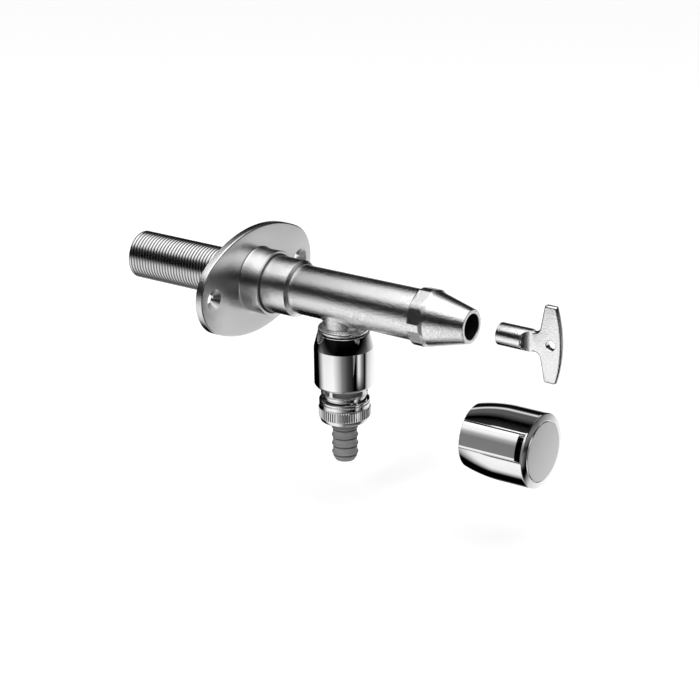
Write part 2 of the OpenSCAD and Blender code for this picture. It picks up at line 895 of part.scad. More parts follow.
module key() {
    shaft_r = shaft_d / 2;
    color("gainsboro") {
        outward()
            difference() {
                intersection() {
                    bar(shaft_r, key_start, ramp_end);
                    rotate([-90, 0, 0])
                        translate([0, 0, -shaft_d])
                            linear_extrude(2 * shaft_d)
                                polygon([[-shaft_d, -key_start + cut], [shaft_d, -key_start + cut],
                                    [shaft_r, -ramp_start], [bow_t / 2, -ramp_end],
                                    [-bow_t / 2, -ramp_end], [-shaft_r, -ramp_start]]);
                }
                square_bar(socket_af, key_start - cut, key_start + socket_depth);
            }
        translate([-bow_t / 2, 0, 0])
            rotate([90, 0, 90])
                linear_extrude(bow_t)
                    mirror([1, 0])
                        bow_outline();
    }
}

// Outer curve of the knob from its rear to its rim
function knob_flare() = [for (i = [0 : curve_steps])
    let (t = i / curve_steps)
    [lobe_r + (knob_r - lobe_r) * (1 - (1 - t) * (1 - t)), t * flare_len]];

function knob_rim() = [for (a = [0 : rim_turn : 90])
    [rim_in_r + (knob_r - rim_in_r) * cos(a), rim_start + rim_len * sin(a)]];

// Flared lobes, with the flutes cut down to the straight core
module knob_lobes() {
    difference() {
        turned(concat([[0, 0]], knob_flare(), knob_rim(), [[0, knob_len]]));
        for (i = [0 : flutes - 1])
            rotate([0, 0, flute_turn + i * 360 / flutes])
                translate([flute_root, -flute_w / 2, -cut])
                    cube([knob_d, flute_w, knob_len - ramp_front + cut]);
    }
}

module knob_shell() {
    color("white")
        at_knob()
            difference() {
                union() {
                    knob_lobes();
                    turned([[0, 0], [knob_rear_r - rear_round, 0], [knob_rear_r, rear_round],
                        [knob_rear_r, knob_len - ramp_back],
                        [ramp_front_r, knob_len - ramp_front - ramp_land],
                        [ramp_front_r, core_top], [0, core_top]]);
                }
                bar(hollow_r, -cut, hollow_depth);
                bar(insert_r + running_gap, hollow_depth - cut, insert_end);
                bar(disc_d / 2 + disc_gap, knob_len - disc_t, knob_len + cut);
            }
}

module knob_disc() {
    color("lightgray")
        at_knob()
            bar(disc_d / 2, knob_len - disc_t, knob_len);
}

module knob_insert() {
    color("goldenrod")
        at_knob()
            difference() {
                bar(insert_r, insert_start, insert_end);
                square_bar(socket_af, insert_start - cut, insert_start + insert_socket);
            }
}

wall_flange();
collar_seal();
wall_tube();
inlet_body();
inlet_seal();
stem_guide();
outlet_body();
bonnet_nose();
bonnet_seal();
stem();
stem_seals();
valve_cup();
valve_washer();
washer_screw();
breaker_sleeve();
breaker_body();
breaker_core();
branch_seal();
check_poppet();
poppet_seal();
vent_ring();
union_nut();
union_washer();
hose_tail();
key();
knob_shell();
knob_disc();
knob_insert();
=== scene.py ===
import bpy
import bmesh
from math import asin, atan, atan2, cos, hypot, pi, radians, sin, sqrt, tan, tau
from mathutils import Matrix, Vector
from types import SimpleNamespace


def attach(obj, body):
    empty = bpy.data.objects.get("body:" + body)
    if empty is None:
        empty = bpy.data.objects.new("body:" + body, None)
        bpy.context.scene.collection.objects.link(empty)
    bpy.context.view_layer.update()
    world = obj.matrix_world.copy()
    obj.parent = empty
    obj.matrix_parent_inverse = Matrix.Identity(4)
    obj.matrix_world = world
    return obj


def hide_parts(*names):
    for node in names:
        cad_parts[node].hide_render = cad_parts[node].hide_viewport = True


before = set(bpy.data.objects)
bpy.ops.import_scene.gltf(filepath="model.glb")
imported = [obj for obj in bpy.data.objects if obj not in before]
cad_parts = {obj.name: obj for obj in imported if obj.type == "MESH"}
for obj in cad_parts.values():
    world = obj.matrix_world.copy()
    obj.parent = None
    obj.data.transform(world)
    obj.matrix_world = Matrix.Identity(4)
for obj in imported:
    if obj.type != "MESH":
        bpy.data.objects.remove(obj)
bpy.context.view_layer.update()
scene = bpy.context.scene
mm = 0.001
quarter = [radians(d) for d in range(0, 91, 15)]  # the steps of a rounded edge
print("frame loaded:", len(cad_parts), "nodes")

# where the axes of branch and knob lie, in millimetres
places = {
    "branchOut": 67.6,
    "knobOut": 160.7,
    "knobDrop": 67.0,
}


def onTap(r, turn, out):  # along the main axis, out from the wall
    return Vector((r * cos(turn), -out, r * sin(turn))) * mm


def onBranch(r, turn, drop):  # down the outlet branch
    return Vector((r * cos(turn), r * sin(turn) - places["branchOut"], -drop)) * mm


def onKnob(r, turn, along):  # along the loose knob
    x, z = r * cos(turn), r * sin(turn)
    return Vector((x, -places["knobOut"] - along, z - places["knobDrop"])) * mm


# node helpers

def addNode(tree, kind, values=(), **settings):
    node = tree.nodes.new(kind)
    for name, setting in settings.items():
        setattr(node, name, setting)
    for label, value in dict(values).items():
        node.inputs[label].default_value = value
    return node


def wire(tree, *links):  # each link is a node and its output, then a node and its input
    for node, output, target, label in links:
        tree.links.new(node.outputs[output], target.inputs[label])


def fillRamp(node, stops):  # grey tones by position
    elements = node.color_ramp.elements
    while len(elements) < len(stops):
        elements.new(0.5)
    for stop, (position, tone) in zip(elements, stops):
        stop.position = position
        stop.color = (tone, tone, tone, 1.0)


# shader groups shared by the finishes

def newGroup(name, inputs, outputs):
    group = bpy.data.node_groups.new(name, "ShaderNodeTree")
    for label, (kind, value) in inputs.items():
        socket = group.interface.new_socket(label, in_out="INPUT", socket_type="NodeSocket" + kind)
        socket.default_value = value
    for label in outputs:
        group.interface.new_socket(label, in_out="OUTPUT", socket_type="NodeSocketFloat")
    return group, group.nodes.new("NodeGroupInput"), group.nodes.new("NodeGroupOutput")


def makeBlast():  # fine pits left by bead blasting, mottled by a second noise
    group, source, result = newGroup("blastGrain", {
        "Grain": ("Float", 1500.0), "Cloud": ("Float", 60.0)}, ["Height", "Mask"])
    where = addNode(group, "ShaderNodeTexCoord")
    pits = addNode(group, "ShaderNodeTexNoise", {"Detail": 2.0})
    cloud = addNode(group, "ShaderNodeTexNoise", {"Detail": 3.0})
    both = addNode(group, "ShaderNodeMix", {"Factor": 0.4})
    firm = addNode(group, "ShaderNodeMapRange", {"From Min": 0.38, "From Max": 0.62})
    wire(group, (where, "Object", pits, "Vector"), (source, "Grain", pits, "Scale"),
         (where, "Object", cloud, "Vector"), (source, "Cloud", cloud, "Scale"),
         (pits, "Fac", both, "A"), (cloud, "Fac", both, "B"), (both, "Result", firm, "Value"),
         (pits, "Fac", result, "Height"), (firm, "Result", result, "Mask"))
    return group


def makeLines():  # hairlines of turning or brushing, long along one direction
    group, source, result = newGroup("hairLines", {
        "Stretch": ("Vector", (300.0, 3000.0, 300.0))}, ["Height", "Mask"])
    where = addNode(group, "ShaderNodeTexCoord")
    stretch = addNode(group, "ShaderNodeMapping")
    noise = addNode(group, "ShaderNodeTexNoise", {"Scale": 1.0, "Detail": 4.0})
    wire(group, (where, "Object", stretch, "Vector"), (source, "Stretch", stretch, "Scale"),
         (stretch, "Vector", noise, "Vector"), (noise, "Fac", result, "Height"),
         (noise, "Fac", result, "Mask"))
    return group


def makeSmudge():  # patches of handling that dull a shine a little
    group, source, result = newGroup("smudge", {
        "Size": ("Float", 45.0), "Edge": ("Float", 0.25)}, ["Mask"])
    middle = 0.55
    where = addNode(group, "ShaderNodeTexCoord")
    noise = addNode(group, "ShaderNodeTexNoise", {"Detail": 6.0, "Roughness": 0.62})
    low = addNode(group, "ShaderNodeMath", {0: middle}, operation="SUBTRACT")
    high = addNode(group, "ShaderNodeMath", {0: middle}, operation="ADD")
    ease = addNode(group, "ShaderNodeMapRange")
    wire(group, (where, "Object", noise, "Vector"), (source, "Size", noise, "Scale"),
         (source, "Edge", low, 1), (source, "Edge", high, 1), (noise, "Fac", ease, "Value"),
         (low, "Value", ease, "From Min"), (high, "Value", ease, "From Max"),
         (ease, "Result", result, "Mask"))
    return group


effects = {"blast": makeBlast(), "lines": makeLines(), "smudge": makeSmudge()}


def makeFinish(name, tones, rough, metallic=1.0, effect="smudge", bump=0.0, depth=0.02, **values):
    finish = bpy.data.materials.new(name)
    finish.use_nodes = True
    tree = finish.node_tree
    shader = tree.nodes["Principled BSDF"]
    shader.inputs["Metallic"].default_value = metallic
    pattern = addNode(tree, "ShaderNodeGroup", values, node_tree=effects[effect])
    smudge = pattern
    if effect != "smudge":
        smudge = addNode(tree, "ShaderNodeGroup", node_tree=effects["smudge"])
    tint = addNode(tree, "ShaderNodeMix", data_type="RGBA")
    for label, tone in zip(("A", "B"), tones):
        shade = tone if isinstance(tone, tuple) else (tone, tone, tone)
        socket = next(s for s in tint.inputs if s.name == label and s.type == "RGBA")
        socket.default_value = (*shade, 1.0)
    tinted = next(s for s in tint.outputs if s.type == "RGBA")
    tree.links.new(tinted, shader.inputs["Base Color"])
    dull = addNode(tree, "ShaderNodeMapRange", {"To Min": rough[0], "To Max": rough[1]})
    wire(tree, (pattern, "Mask", tint, "Factor"), (smudge, "Mask", dull, "Value"),
         (dull, "Result", shader, "Roughness"))
    if bump:
        relief = addNode(tree, "ShaderNodeBump", {"Strength": bump, "Distance": depth * mm})
        wire(tree, (pattern, "Height", relief, "Height"), (relief, "Normal", shader, "Normal"))
    return finish


# tones and roughness are ranges, depth is in millimetres
blasted = {"effect": "blast", "bump": 1.0, "Grain": 1200.0, "Cloud": 1800.0}
brushed = {"effect": "lines", "bump": 0.1, "Stretch": (200.0, 3500.0, 200.0)}
plastic = {"effect": "blast", "metallic": 0.0, "bump": 0.15, "Grain": 2200.0, "Cloud": 90.0}
finishTable = {
    "satinNickel": {**blasted, "tones": (0.76, 0.84), "rough": (0.2, 0.27), "depth": 0.1,
                    "Grain": 1400.0, "Cloud": 30.0},
    "brightTube": {**brushed, "tones": (0.66, 0.8), "rough": (0.12, 0.2), "bump": 0.05,
                   "Stretch": (150.0, 4000.0, 150.0)},
    "blastedChrome": {**blasted, "tones": (0.7, 1.0), "rough": (0.18, 0.24), "depth": 0.2},
    "noseChrome": {**blasted, "tones": (0.74, 1.0), "rough": (0.18, 0.24), "depth": 0.13},
    "sleeveChrome": {"tones": (0.9, 0.95), "rough": (0.03, 0.07)},
    "breakerChrome": {"tones": (0.84, 0.92), "rough": (0.06, 0.12)},
    "unionChrome": {"tones": (0.84, 0.92), "rough": (0.08, 0.14)},
    "knobChrome": {"tones": (0.9, 0.95), "rough": (0.03, 0.06)},
    "discMetal": {**brushed, "tones": (0.66, 0.74), "rough": (0.28, 0.34), "bump": 0.06,
                  "Stretch": (900.0, 900.0, 900.0)},
    "keyMetal": {**blasted, "tones": (0.88, 1.0), "rough": (0.12, 0.18), "depth": 0.14},
    "tailPlastic": {**plastic, "tones": (0.2, 0.25), "rough": (0.42, 0.55)},
    "ventPlastic": {**plastic, "tones": (0.14, 0.18), "rough": (0.45, 0.6)},
    "guidePlastic": {**plastic, "tones": (0.66, 0.74), "rough": (0.35, 0.5), "bump": 0.1},
    "sealRubber": {**plastic, "tones": (0.012, 0.02), "rough": (0.5, 0.7), "bump": 0.2,
                   "Grain": 2600.0, "Cloud": 150.0},
    "rawBrass": {**brushed, "tones": ((0.62, 0.44, 0.19), (0.74, 0.55, 0.26)), "rough": (0.22, 0.34)},
    # dark bare metal of the stem and insert, also used as painted shade in the nose bore
    "stemMetalAndBoreShade": {**brushed, "tones": (0.16, 0.22), "rough": (0.3, 0.42)},
}
finishes = {name: makeFinish(name, **values) for name, values in finishTable.items()}
print("finishes made:", len(finishes))


# mesh helpers

def softened(points, steps=4):  # rounds each corner that carries a radius as its third number
    most = 0.48  # share of an edge that one rounding may take
    result = []
    for i, point in enumerate(points):
        corner = Vector(point[:2])
        if len(point) < 3:
            result.append(corner)
            continue
        before = Vector(points[i - 1][:2]) - corner
        after = Vector(points[(i + 1) % len(points)][:2]) - corner
        half = before.angle(after) / 2
        reach = min(point[2] / tan(half), before.length * most, after.length * most)
        start = corner + before.normalized() * reach
        end = corner + after.normalized() * reach
        for k in range(steps + 1):
            t = k / steps
            result.append(start * (1 - t) ** 2 + corner * 2 * t * (1 - t) + end * t ** 2)
    return result


def sharpAt(mesh, degrees):
    mesh.shade_smooth()
    mesh.set_sharp_from_angle(angle=radians(degrees))


def tidy(form, name, degrees=28):  # bmesh to mesh, doubles merged and faces turned out
    bmesh.ops.remove_doubles(form, verts=form.verts, dist=1e-7)
    bmesh.ops.recalc_face_normals(form, faces=form.faces)
    mesh = bpy.data.meshes.new(name)
    form.to_mesh(mesh)
    form.free()
    sharpAt(mesh, degrees)
    return mesh


def skin(form, rows, wrapRows=True):  # quads over rings of points, where a ring of one is a pole
    grid = [[form.verts.new(p) for p in row] for row in rows]
    for i in range(len(grid) if wrapRows else len(grid) - 1):
        lower, upper = grid[i], grid[(i + 1) % len(grid)]
        count = max(len(lower), len(upper))
        if count == 1:
            continue
        for k in range(count):
            n = (k + 1) % count
            corners = [lower[k % len(lower)], lower[n % len(lower)],
                       upper[n % len(upper)], upper[k % len(upper)]]
            form.faces.new(dict.fromkeys(corners))
    return grid


def capped(rows):  # skin over rows of points, closed at both ends
    form = bmesh.new()
    grid = skin(form, rows, wrapRows=False)
    form.faces.new(grid[0])
    form.faces.new(grid[-1])
    return form


def turned(place, points, segments=144, shape=None):  # closed half outline turned about an axis
    rows = []
    for r, s in points:
        row = []
        for k in range(segments if r > 0 else 1):
            turn = tau * k / segments
            row.append(place(shape(r, turn, s) if shape else r, turn, s))
        rows.append(row)
    form = bmesh.new()
    skin(form, rows)
    return form


def joined(forms):
    whole = bmesh.new()
    for form in forms:
        part = bpy.data.meshes.new("part")
        form.to_mesh(part)
        form.free()
        whole.from_mesh(part)
        bpy.data.meshes.remove(part)
    return whole


def placed(name, data):
    thing = bpy.data.objects.new(name, data)
    scene.collection.objects.link(thing)
    return thing


def discard(thing):  # a helper object and its mesh
    old = thing.data
    bpy.data.objects.remove(thing)
    bpy.data.meshes.remove(old)


def evaluated(thing, name, degrees):  # plain mesh of an object with its modifiers run
    bpy.context.view_layer.update()
    done = thing.evaluated_get(bpy.context.evaluated_depsgraph_get())
    mesh = bpy.data.meshes.new_from_object(done)
    mesh.name = name
    sharpAt(mesh, degrees)
    return mesh


def withCut(mesh, cutters, name, degrees=28):  # mesh with closed forms taken out of it
    base = placed(name, mesh)
    tools = [placed("cutter", tidy(form, "cutter")) for form in cutters]
    for tool in tools:
        cut = base.modifiers.new("cut", "BOOLEAN")
        cut.object = tool
        cut.operation = "DIFFERENCE"
        cut.solver = "EXACT"
    result = evaluated(base, name, degrees)
    for thing in [base, *tools]:
        discard(thing)
    return result


def addPiece(name, mesh, body, nodes, finish):
    mesh.materials.clear()
    mesh.materials.append(finishes[finish])
    piece = placed(name, mesh)
    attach(piece, body)
    if nodes:
        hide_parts(*nodes)
    return piece


# geometry node trees for what repeats

def newTree(name, inputs):
    tree = bpy.data.node_groups.new(name, "GeometryNodeTree")
    for label, kind in inputs.items():
        tree.interface.new_socket(label, in_out="INPUT", socket_type="NodeSocket" + kind)
    tree.interface.new_socket("Geometry", in_out="OUTPUT", socket_type="NodeSocketGeometry")
    return tree, tree.nodes.new("NodeGroupInput"), tree.nodes.new("NodeGroupOutput")


def closeTree(tree, source, result, last, output):  # realize, set the finish, put out
    real = addNode(tree, "GeometryNodeRealizeInstances")
    paint = addNode(tree, "GeometryNodeSetMaterial")
    wire(tree, (last, output, real, "Geometry"), (real, "Geometry", paint, "Geometry"),
         (source, "Finish", paint, "Material"), (paint, "Geometry", result, "Geometry"))
    return tree


def makeRow():  # copies of one form along a straight line
    tree, source, result = newTree("repeatAlong", {
        "Geometry": "Geometry", "Count": "Int", "Step": "Vector", "Finish": "Material"})
    line = addNode(tree, "GeometryNodeMeshLine", mode="OFFSET")
    spread = addNode(tree, "GeometryNodeInstanceOnPoints")
    wire(tree, (source, "Count", line, "Count"), (source, "Step", line, "Offset"),
         (line, "Mesh", spread, "Points"), (source, "Geometry", spread, "Instance"))
    return closeTree(tree, source, result, spread, "Instances")


def makeRound():  # copies of one form turned about an axis
    tree, source, result = newTree("repeatAround", {
        "Geometry": "Geometry", "Count": "Int", "Centre": "Vector", "Axis": "Vector",
        "Finish": "Material"})
    line = addNode(tree, "GeometryNodeMeshLine", {"Offset": (0, 0, 0)}, mode="OFFSET")
    back = addNode(tree, "ShaderNodeVectorMath", {"Scale": -1.0}, operation="SCALE")
    home = addNode(tree, "GeometryNodeTransform")
    index = addNode(tree, "GeometryNodeInputIndex")
    share = addNode(tree, "ShaderNodeMath", operation="DIVIDE")
    angle = addNode(tree, "ShaderNodeMath", {1: tau}, operation="MULTIPLY")
    turn = addNode(tree, "FunctionNodeAxisAngleToRotation")
    spread = addNode(tree, "GeometryNodeInstanceOnPoints")
    wire(tree, (source, "Count", line, "Count"), (source, "Centre", line, "Start Location"),
         (source, "Centre", back, 0), (source, "Geometry", home, "Geometry"),
         (back, "Vector", home, "Translation"), (index, "Index", share, 0), (source, "Count", share, 1),
         (share, "Value", angle, 0), (angle, "Value", turn, "Angle"), (source, "Axis", turn, "Axis"),
         (line, "Mesh", spread, "Points"), (home, "Geometry", spread, "Instance"),
         (turn, "Rotation", spread, "Rotation"))
    return closeTree(tree, source, result, spread, "Instances")


def makeHelix():  # a thread ridge swept along a spiral
    tree, source, result = newTree("threadRidge", {
        "Radius": "Float", "Turns": "Float", "Height": "Float", "Ridge": "Float",
        "Base": "Float", "Crest": "Float", "Foot": "Vector", "Finish": "Material"})
    crestOut = (0.0, 0.0, -pi / 2)  # turns the crest away from the axis
    spiral = addNode(tree, "GeometryNodeCurveSpiral", {"Resolution": 96})
    level = addNode(tree, "GeometryNodeSetCurveNormal", mode="Z_UP")
    section = addNode(tree, "GeometryNodeCurvePrimitiveQuadrilateral", mode="TRAPEZOID")
    section.inputs["Offset"].default_value = 0.0
    outward = addNode(tree, "GeometryNodeTransform", {"Rotation": crestOut})
    sweep = addNode(tree, "GeometryNodeCurveToMesh", {"Fill Caps": True})
    lift = addNode(tree, "GeometryNodeTransform")
    wire(tree, (source, "Radius", spiral, "Start Radius"), (source, "Radius", spiral, "End Radius"),
         (source, "Turns", spiral, "Rotations"), (source, "Height", spiral, "Height"),
         (source, "Ridge", section, "Height"), (source, "Base", section, "Bottom Width"),
         (source, "Crest", section, "Top Width"), (spiral, "Curve", level, "Curve"),
         (level, "Curve", sweep, "Curve"), (section, "Curve", outward, "Geometry"),
         (outward, "Geometry", sweep, "Profile Curve"), (sweep, "Mesh", lift, "Geometry"),
         (source, "Foot", lift, "Translation"))
    return closeTree(tree, source, result, lift, "Geometry")


trees = {"row": makeRow(), "round": makeRound(), "helix": makeHelix()}


def grown(name, mesh, tree, finish, values, degrees=28):  # plain result of a tree run on a mesh
    seed = placed(name, mesh)
    grow = seed.modifiers.new("grow", "NODES")
    grow.node_group = trees[tree]
    inputs = {**values, "Finish": finishes[finish]}
    for socket in trees[tree].interface.items_tree:
        if socket.in_out == "INPUT" and socket.name in inputs:
            grow[socket.identifier] = inputs[socket.name]
    result = evaluated(seed, name, degrees)
    seed.modifiers.clear()
    discard(seed)
    return result


# wall flange: oval plate with a collar and two countersunk holes
flange = {
    "width": 112.0, "height": 66.0, "endRadius": 25.0, "thick": 5.0, "edge": 1.1, "backEdge": 0.5,
    "tubeHole": 14.95, "collarRadius": 19.9, "collarBore": 18.3, "collarEnd": 18.6, "fillet": 0.9,
    "lipOut": 0.5, "lipIn": 0.4, "flatRings": (8.0, 1.9), "screwSpacing": 88.0, "screwHole": 3.25,
    "sink": 6.5, "cutOver": 0.35, "cutUnder": 2.0, "segments": 288,
}


def ovalRadius(turn):  # distance from the middle to the oval's edge
    ends = flange["endRadius"]
    c = flange["width"] / 2 - ends
    b = flange["height"] / 2 - ends
    k = (c * c - b * b) / (2 * b)
    big = flange["height"] / 2 + k
    x, z = abs(cos(turn)), abs(sin(turn))
    far = c * x + sqrt(max(ends ** 2 - (c * z) ** 2, 0.0))
    wide = -k * z + sqrt(big ** 2 - (k * x) ** 2)
    joint = big * c / (big - ends)
    return far if far * x >= joint else wide


def makeFlange():
    f = SimpleNamespace(**flange)
    edge, top, rim, fillet, end = f.edge, f.thick, f.collarRadius, f.fillet, f.collarEnd

    def plain(r):
        return lambda turn: r

    def oval(inset):
        return lambda turn: ovalRadius(turn) - inset

    stations = [(plain(f.tubeHole), 0.0), (oval(f.backEdge), 0.0), (oval(0.0), f.backEdge)]
    stations += [(oval(edge * (1 - cos(a))), top - edge * (1 - sin(a))) for a in quarter]
    stations += [(plain(rim + out), top) for out in f.flatRings]
    stations += [(plain(rim + fillet * (1 - sin(a))), top + fillet * (1 - cos(a))) for a in quarter]
    collar = softened([(rim, top + fillet), (rim, end, f.lipOut),
                       (f.collarBore, end, f.lipIn), (f.collarBore, top)])
    stations += [(plain(r), s) for r, s in collar[1:]]
    stations.append((plain(f.tubeHole), top))
    turns = [tau * k / f.segments for k in range(f.segments)]
    form = bmesh.new()
    skin(form, [[onTap(radius(turn), turn, s) for turn in turns] for radius, s in stations])

    hole, sink, over, under = f.screwHole, f.sink, f.cutOver, f.cutUnder
    outline = [(0.0, -under), (hole, -under), (hole, top - (sink - hole)), (sink, top),
               (sink + over, top + over), (0.0, top + over)]
    cutters = []
    for side in (-1, 1):
        cutter = turned(onTap, outline, segments=64)
        aside = side * f.screwSpacing / 2 * mm
        bmesh.ops.translate(cutter, verts=cutter.verts, vec=(aside, 0, 0))
        cutters.append(cutter)
    mesh = withCut(tidy(form, "flange"), cutters, "wallFlange")
    addPiece("wallFlange", mesh, "tap", ["wall_flange"], "satinNickel")


makeFlange()
print("flange made")

# wall tube: plain tube with a row of rounded ridges
tube = {
    "back": 84.0, "front": 30.0, "crest": 14.65, "root": 14.05, "bore": 12.5, "edge": 0.3,
    "pitch": 2.2, "ridgeStart": 0.15, "ridgeEnd": 4.8, "ridgeShare": 0.96, "fullness": 0.8,
    "sunk": 0.2, "spare": 0.4, "smoothTo": 60,
}


def makeTube():
    t = SimpleNamespace(**tube)
    bore, root, crest, back = t.bore, t.root, t.crest, -t.back
    plain = turned(onTap, softened([
        (bore, back, t.edge), (root, back, t.edge), (root, t.ridgeEnd), (crest, t.ridgeEnd),
        (crest, t.front), (bore, t.front)]))
    start = back + t.ridgeStart
    half = t.pitch / 2 * t.ridgeShare
    ridge = [(root - t.sunk, start)]
    for k in range(9):
        a = pi * k / 8
        ridge.append((root + (crest - root) * sin(a) ** t.fullness, start + half * (1 - cos(a))))
    ridge.append((root - t.sunk, start + half * 2))
    count = int((t.back + t.ridgeEnd - t.spare) / t.pitch)
    seed = tidy(turned(onTap, ridge), "ridge", t.smoothTo)
    rings = grown("ridges", seed, "row", "brightTube",
                  {"Count": count, "Step": (0.0, -t.pitch * mm, 0.0)}, t.smoothTo)
    addPiece("wallTube", tidy(plain, "wallTube"), "tap", ["wall_tube"], "brightTube")
    addPiece("tubeRidges", rings, "tap", [], "brightTube")


makeTube()
print("tube made")

# outlet body: barrel with stepped ring, branch with lip, and the fillet where they meet
outlet = {
    "ringRadius": 17.4, "ringStart": 5.0, "ringEnd": 38.0, "ringBore": 14.7, "ringBoreEnd": 30.0,
    "chamfer": 1.6, "step": 0.1, "groove": 0.9, "grooveStart": 0.05, "grooveEnd": 0.6, "grooveOut": 0.75,
    "barrel": 15.0, "barrelFront": 15.4, "end": 123.7, "bore": 11.0, "noseBore": 13.27,
    "noseBoreStart": 106.5, "neck": 12.4, "neckStart": 6.0, "neckBore": 7.0, "lipTop": 17.4,
    "lipRadius": 15.4, "lipHeight": 2.8, "lipRound": 1.35, "spigot": 10.48, "spigotEnd": 32.8,
    "fillet": 1.1, "branchShare": 0.35, "saddleIn": 0.8, "saddleUp": 0.9,
}


def saddle(f, steps=8, segments=144):  # rolling ball fillet between barrel and neck
    o = SimpleNamespace(**outlet)
    big = o.barrel + (o.barrelFront - o.barrel) * o.branchShare
    small = o.neck
    inside = small * o.saddleIn
    rows = [[] for _ in range(steps + 2)]
    for k in range(segments):
        turn = tau * k / segments
        x, y = (small + f) * cos(turn), (small + f) * sin(turn)
        z = -sqrt((big + f) ** 2 - x * x)
        middle = Vector((x, y, z))
        onBarrel = middle + Vector((-x, 0, -z)).normalized() * f
        onNeck = middle + Vector((-cos(turn), -sin(turn), 0)) * f
        a, b = (onBarrel - middle).normalized(), (onNeck - middle).normalized()
        span = a.angle(b)
        for i in range(steps + 1):
            w = i / steps
            d = (a * sin((1 - w) * span) + b * sin(w * span)) / sin(span)
            rows[i].append(middle + d * f)
        deep = (onBarrel.z + onNeck.z) / 2 * o.saddleUp
        rows[steps + 1].append(Vector((inside * cos(turn), inside * sin(turn), deep)))
    form = bmesh.new()
    skin(form, [[Vector((p.x, p.y - places["branchOut"], p.z)) * mm for p in row] for row in rows])
    return form


def makeOutlet():
    o = SimpleNamespace(**outlet)
    ring, ringEnd, radius = o.ringRadius, o.ringEnd, o.barrel
    barrel = turned(onTap, softened([
        (o.ringBore, o.ringStart), (ring, o.ringStart, 0.8), (ring, ringEnd - o.chamfer, 0.25),
        (radius + o.step, ringEnd), (radius - o.groove, ringEnd + o.grooveStart),
        (radius - o.groove, ringEnd + o.grooveEnd), (radius, ringEnd + o.grooveOut, 0.1),
        (o.barrelFront, o.end, 0.3), (o.noseBore, o.end), (o.noseBore, o.noseBoreStart),
        (o.bore, o.noseBoreStart), (o.bore, o.ringBoreEnd),
        (o.ringBore, o.ringBoreEnd)]), segments=192)
    lip, lipEnd, spigot = o.lipRadius, o.lipTop + o.lipHeight, o.spigot
    branch = turned(onBranch, softened([
        (o.neckBore, o.neckStart), (o.neck, o.neckStart), (o.neck, o.lipTop, 0.7),
        (lip, o.lipTop, o.lipRound), (lip, lipEnd, o.lipRound), (spigot, lipEnd),
        (spigot, o.spigotEnd, 0.5), (o.neckBore, o.spigotEnd)], 6))
    mesh = tidy(joined([barrel, branch, saddle(o.fillet)]), "outletBody")
    addPiece("outletBody", mesh, "tap", ["outlet_body"], "blastedChrome")


makeOutlet()
print("outlet body made")

# bonnet nose: eight flats milled on a turned blank, then the cone and the key hole
nose = {
    "start": 123.7, "tail": 108.0, "tailRadius": 13.22, "sides": 8, "flats": 34.0, "round": 17.6,
    "turn": 4.5, "chamfer": 0.7, "nutEnd": 131.9, "coneStart": 133.9, "coneRadius": 16.3, "end": 157.9,
    "tipRadius": 10.3, "hole": 7.85, "holeStart": 141.8, "journal": 5.0, "journalStart": 127.3,
    "stemBore": 6.55, "slack": 0.05,
}


def makeNose():
    n = SimpleNamespace(**nose)
    step = tau / n.sides
    first = step / 2 + radians(n.turn)
    start, end, full, bevelled = n.start, n.end, n.round, n.start + n.chamfer

    def milled(r, turn, s):
        if not start - 0.01 <= s <= n.coneStart or r < n.tailRadius + 0.5:
            return r
        off = (turn - first + step / 2) % step - step / 2
        return min(r, n.flats / 2 / cos(off))

    outline = [(n.tailRadius, start), (full - n.chamfer, start), (full, bevelled)]
    outline += [(full, bevelled + (n.nutEnd - bevelled) * k / 6) for k in range(1, 7)]
    outline += [(full + (n.coneRadius - full) * k / 8,
                 n.nutEnd + (n.coneStart - n.nutEnd) * k / 8) for k in range(1, 9)]
    outline += softened([
        (n.coneRadius, n.coneStart), (n.tipRadius, end, 0.6), (n.hole, end, 0.35),
        (n.hole, n.holeStart), (n.journal, n.holeStart), (n.journal, n.journalStart),
        (n.stemBore, n.journalStart), (n.stemBore, n.tail), (n.tailRadius, n.tail)])[1:]
    mesh = tidy(turned(onTap, outline, segments=360, shape=milled), "bonnetNose", 9)
    addPiece("bonnetNose", mesh, "tap", ["bonnet_nose"], "noseChrome")
    mesh.materials.append(finishes["stemMetalAndBoreShade"])  # the bore faces get the dark finish: painted shade inside the hole
    bore = (n.hole + n.slack) * mm
    for face in mesh.polygons:
        face.material_index = int(hypot(face.center.x, face.center.z) < bore)


makeNose()
print("nose made")

# vacuum breaker: sleeve, body with the vent and its ribs, and the hose thread
breaker = {
    "sleeveTop": 20.9, "taperEnd": 30.3, "sleeveEnd": 53.6, "sleeveRadius": 18.0, "topRadius": 15.6,
    "sleeveBore": 15.4, "sleeveHole": 10.78, "roof": 23.4, "roofRadius": 14.3,
    "bodyTop": 23.7, "bodyTopRadius": 14.25, "bodyRadius": 15.35, "bodyHole": 10.53,
    "throat": 6.0, "throatTop": 34.0, "throatEnd": 37.3, "chamber": 11.9, "chamberEnd": 61.9, "bore": 9.0,
    "ventTop": 53.9, "ventEnd": 60.5, "ventTopRadius": 17.5, "ventFoot": 14.02, "windowTop": 54.6,
    "windowEnd": 59.0, "footRadius": 14.15, "footGroove": 59.75, "grooveHalf": 0.2, "grooveDepth": 0.6,
    "ribs": 4, "ribWidth": 10.0, "ribTurn": 180.0, "ribFlare": 1.5, "flareHeight": 0.8, "ribEdge": 0.25,
    "ribFace": 0.8, "ribLap": 0.1, "ribIn": 0.02, "ribBack": 0.05,
    "threadRadius": 13.22, "threadDepth": 0.9, "threadPitch": 1.814, "threadEnd": 70.2, "threadGap": 0.5,
    "ridge": 1.2, "ridgeBase": 1.55, "ridgeCrest": 1.0, "ridgeIn": 0.95,
}
branchCentre = (0.0, -places["branchOut"] * mm, 0.0)


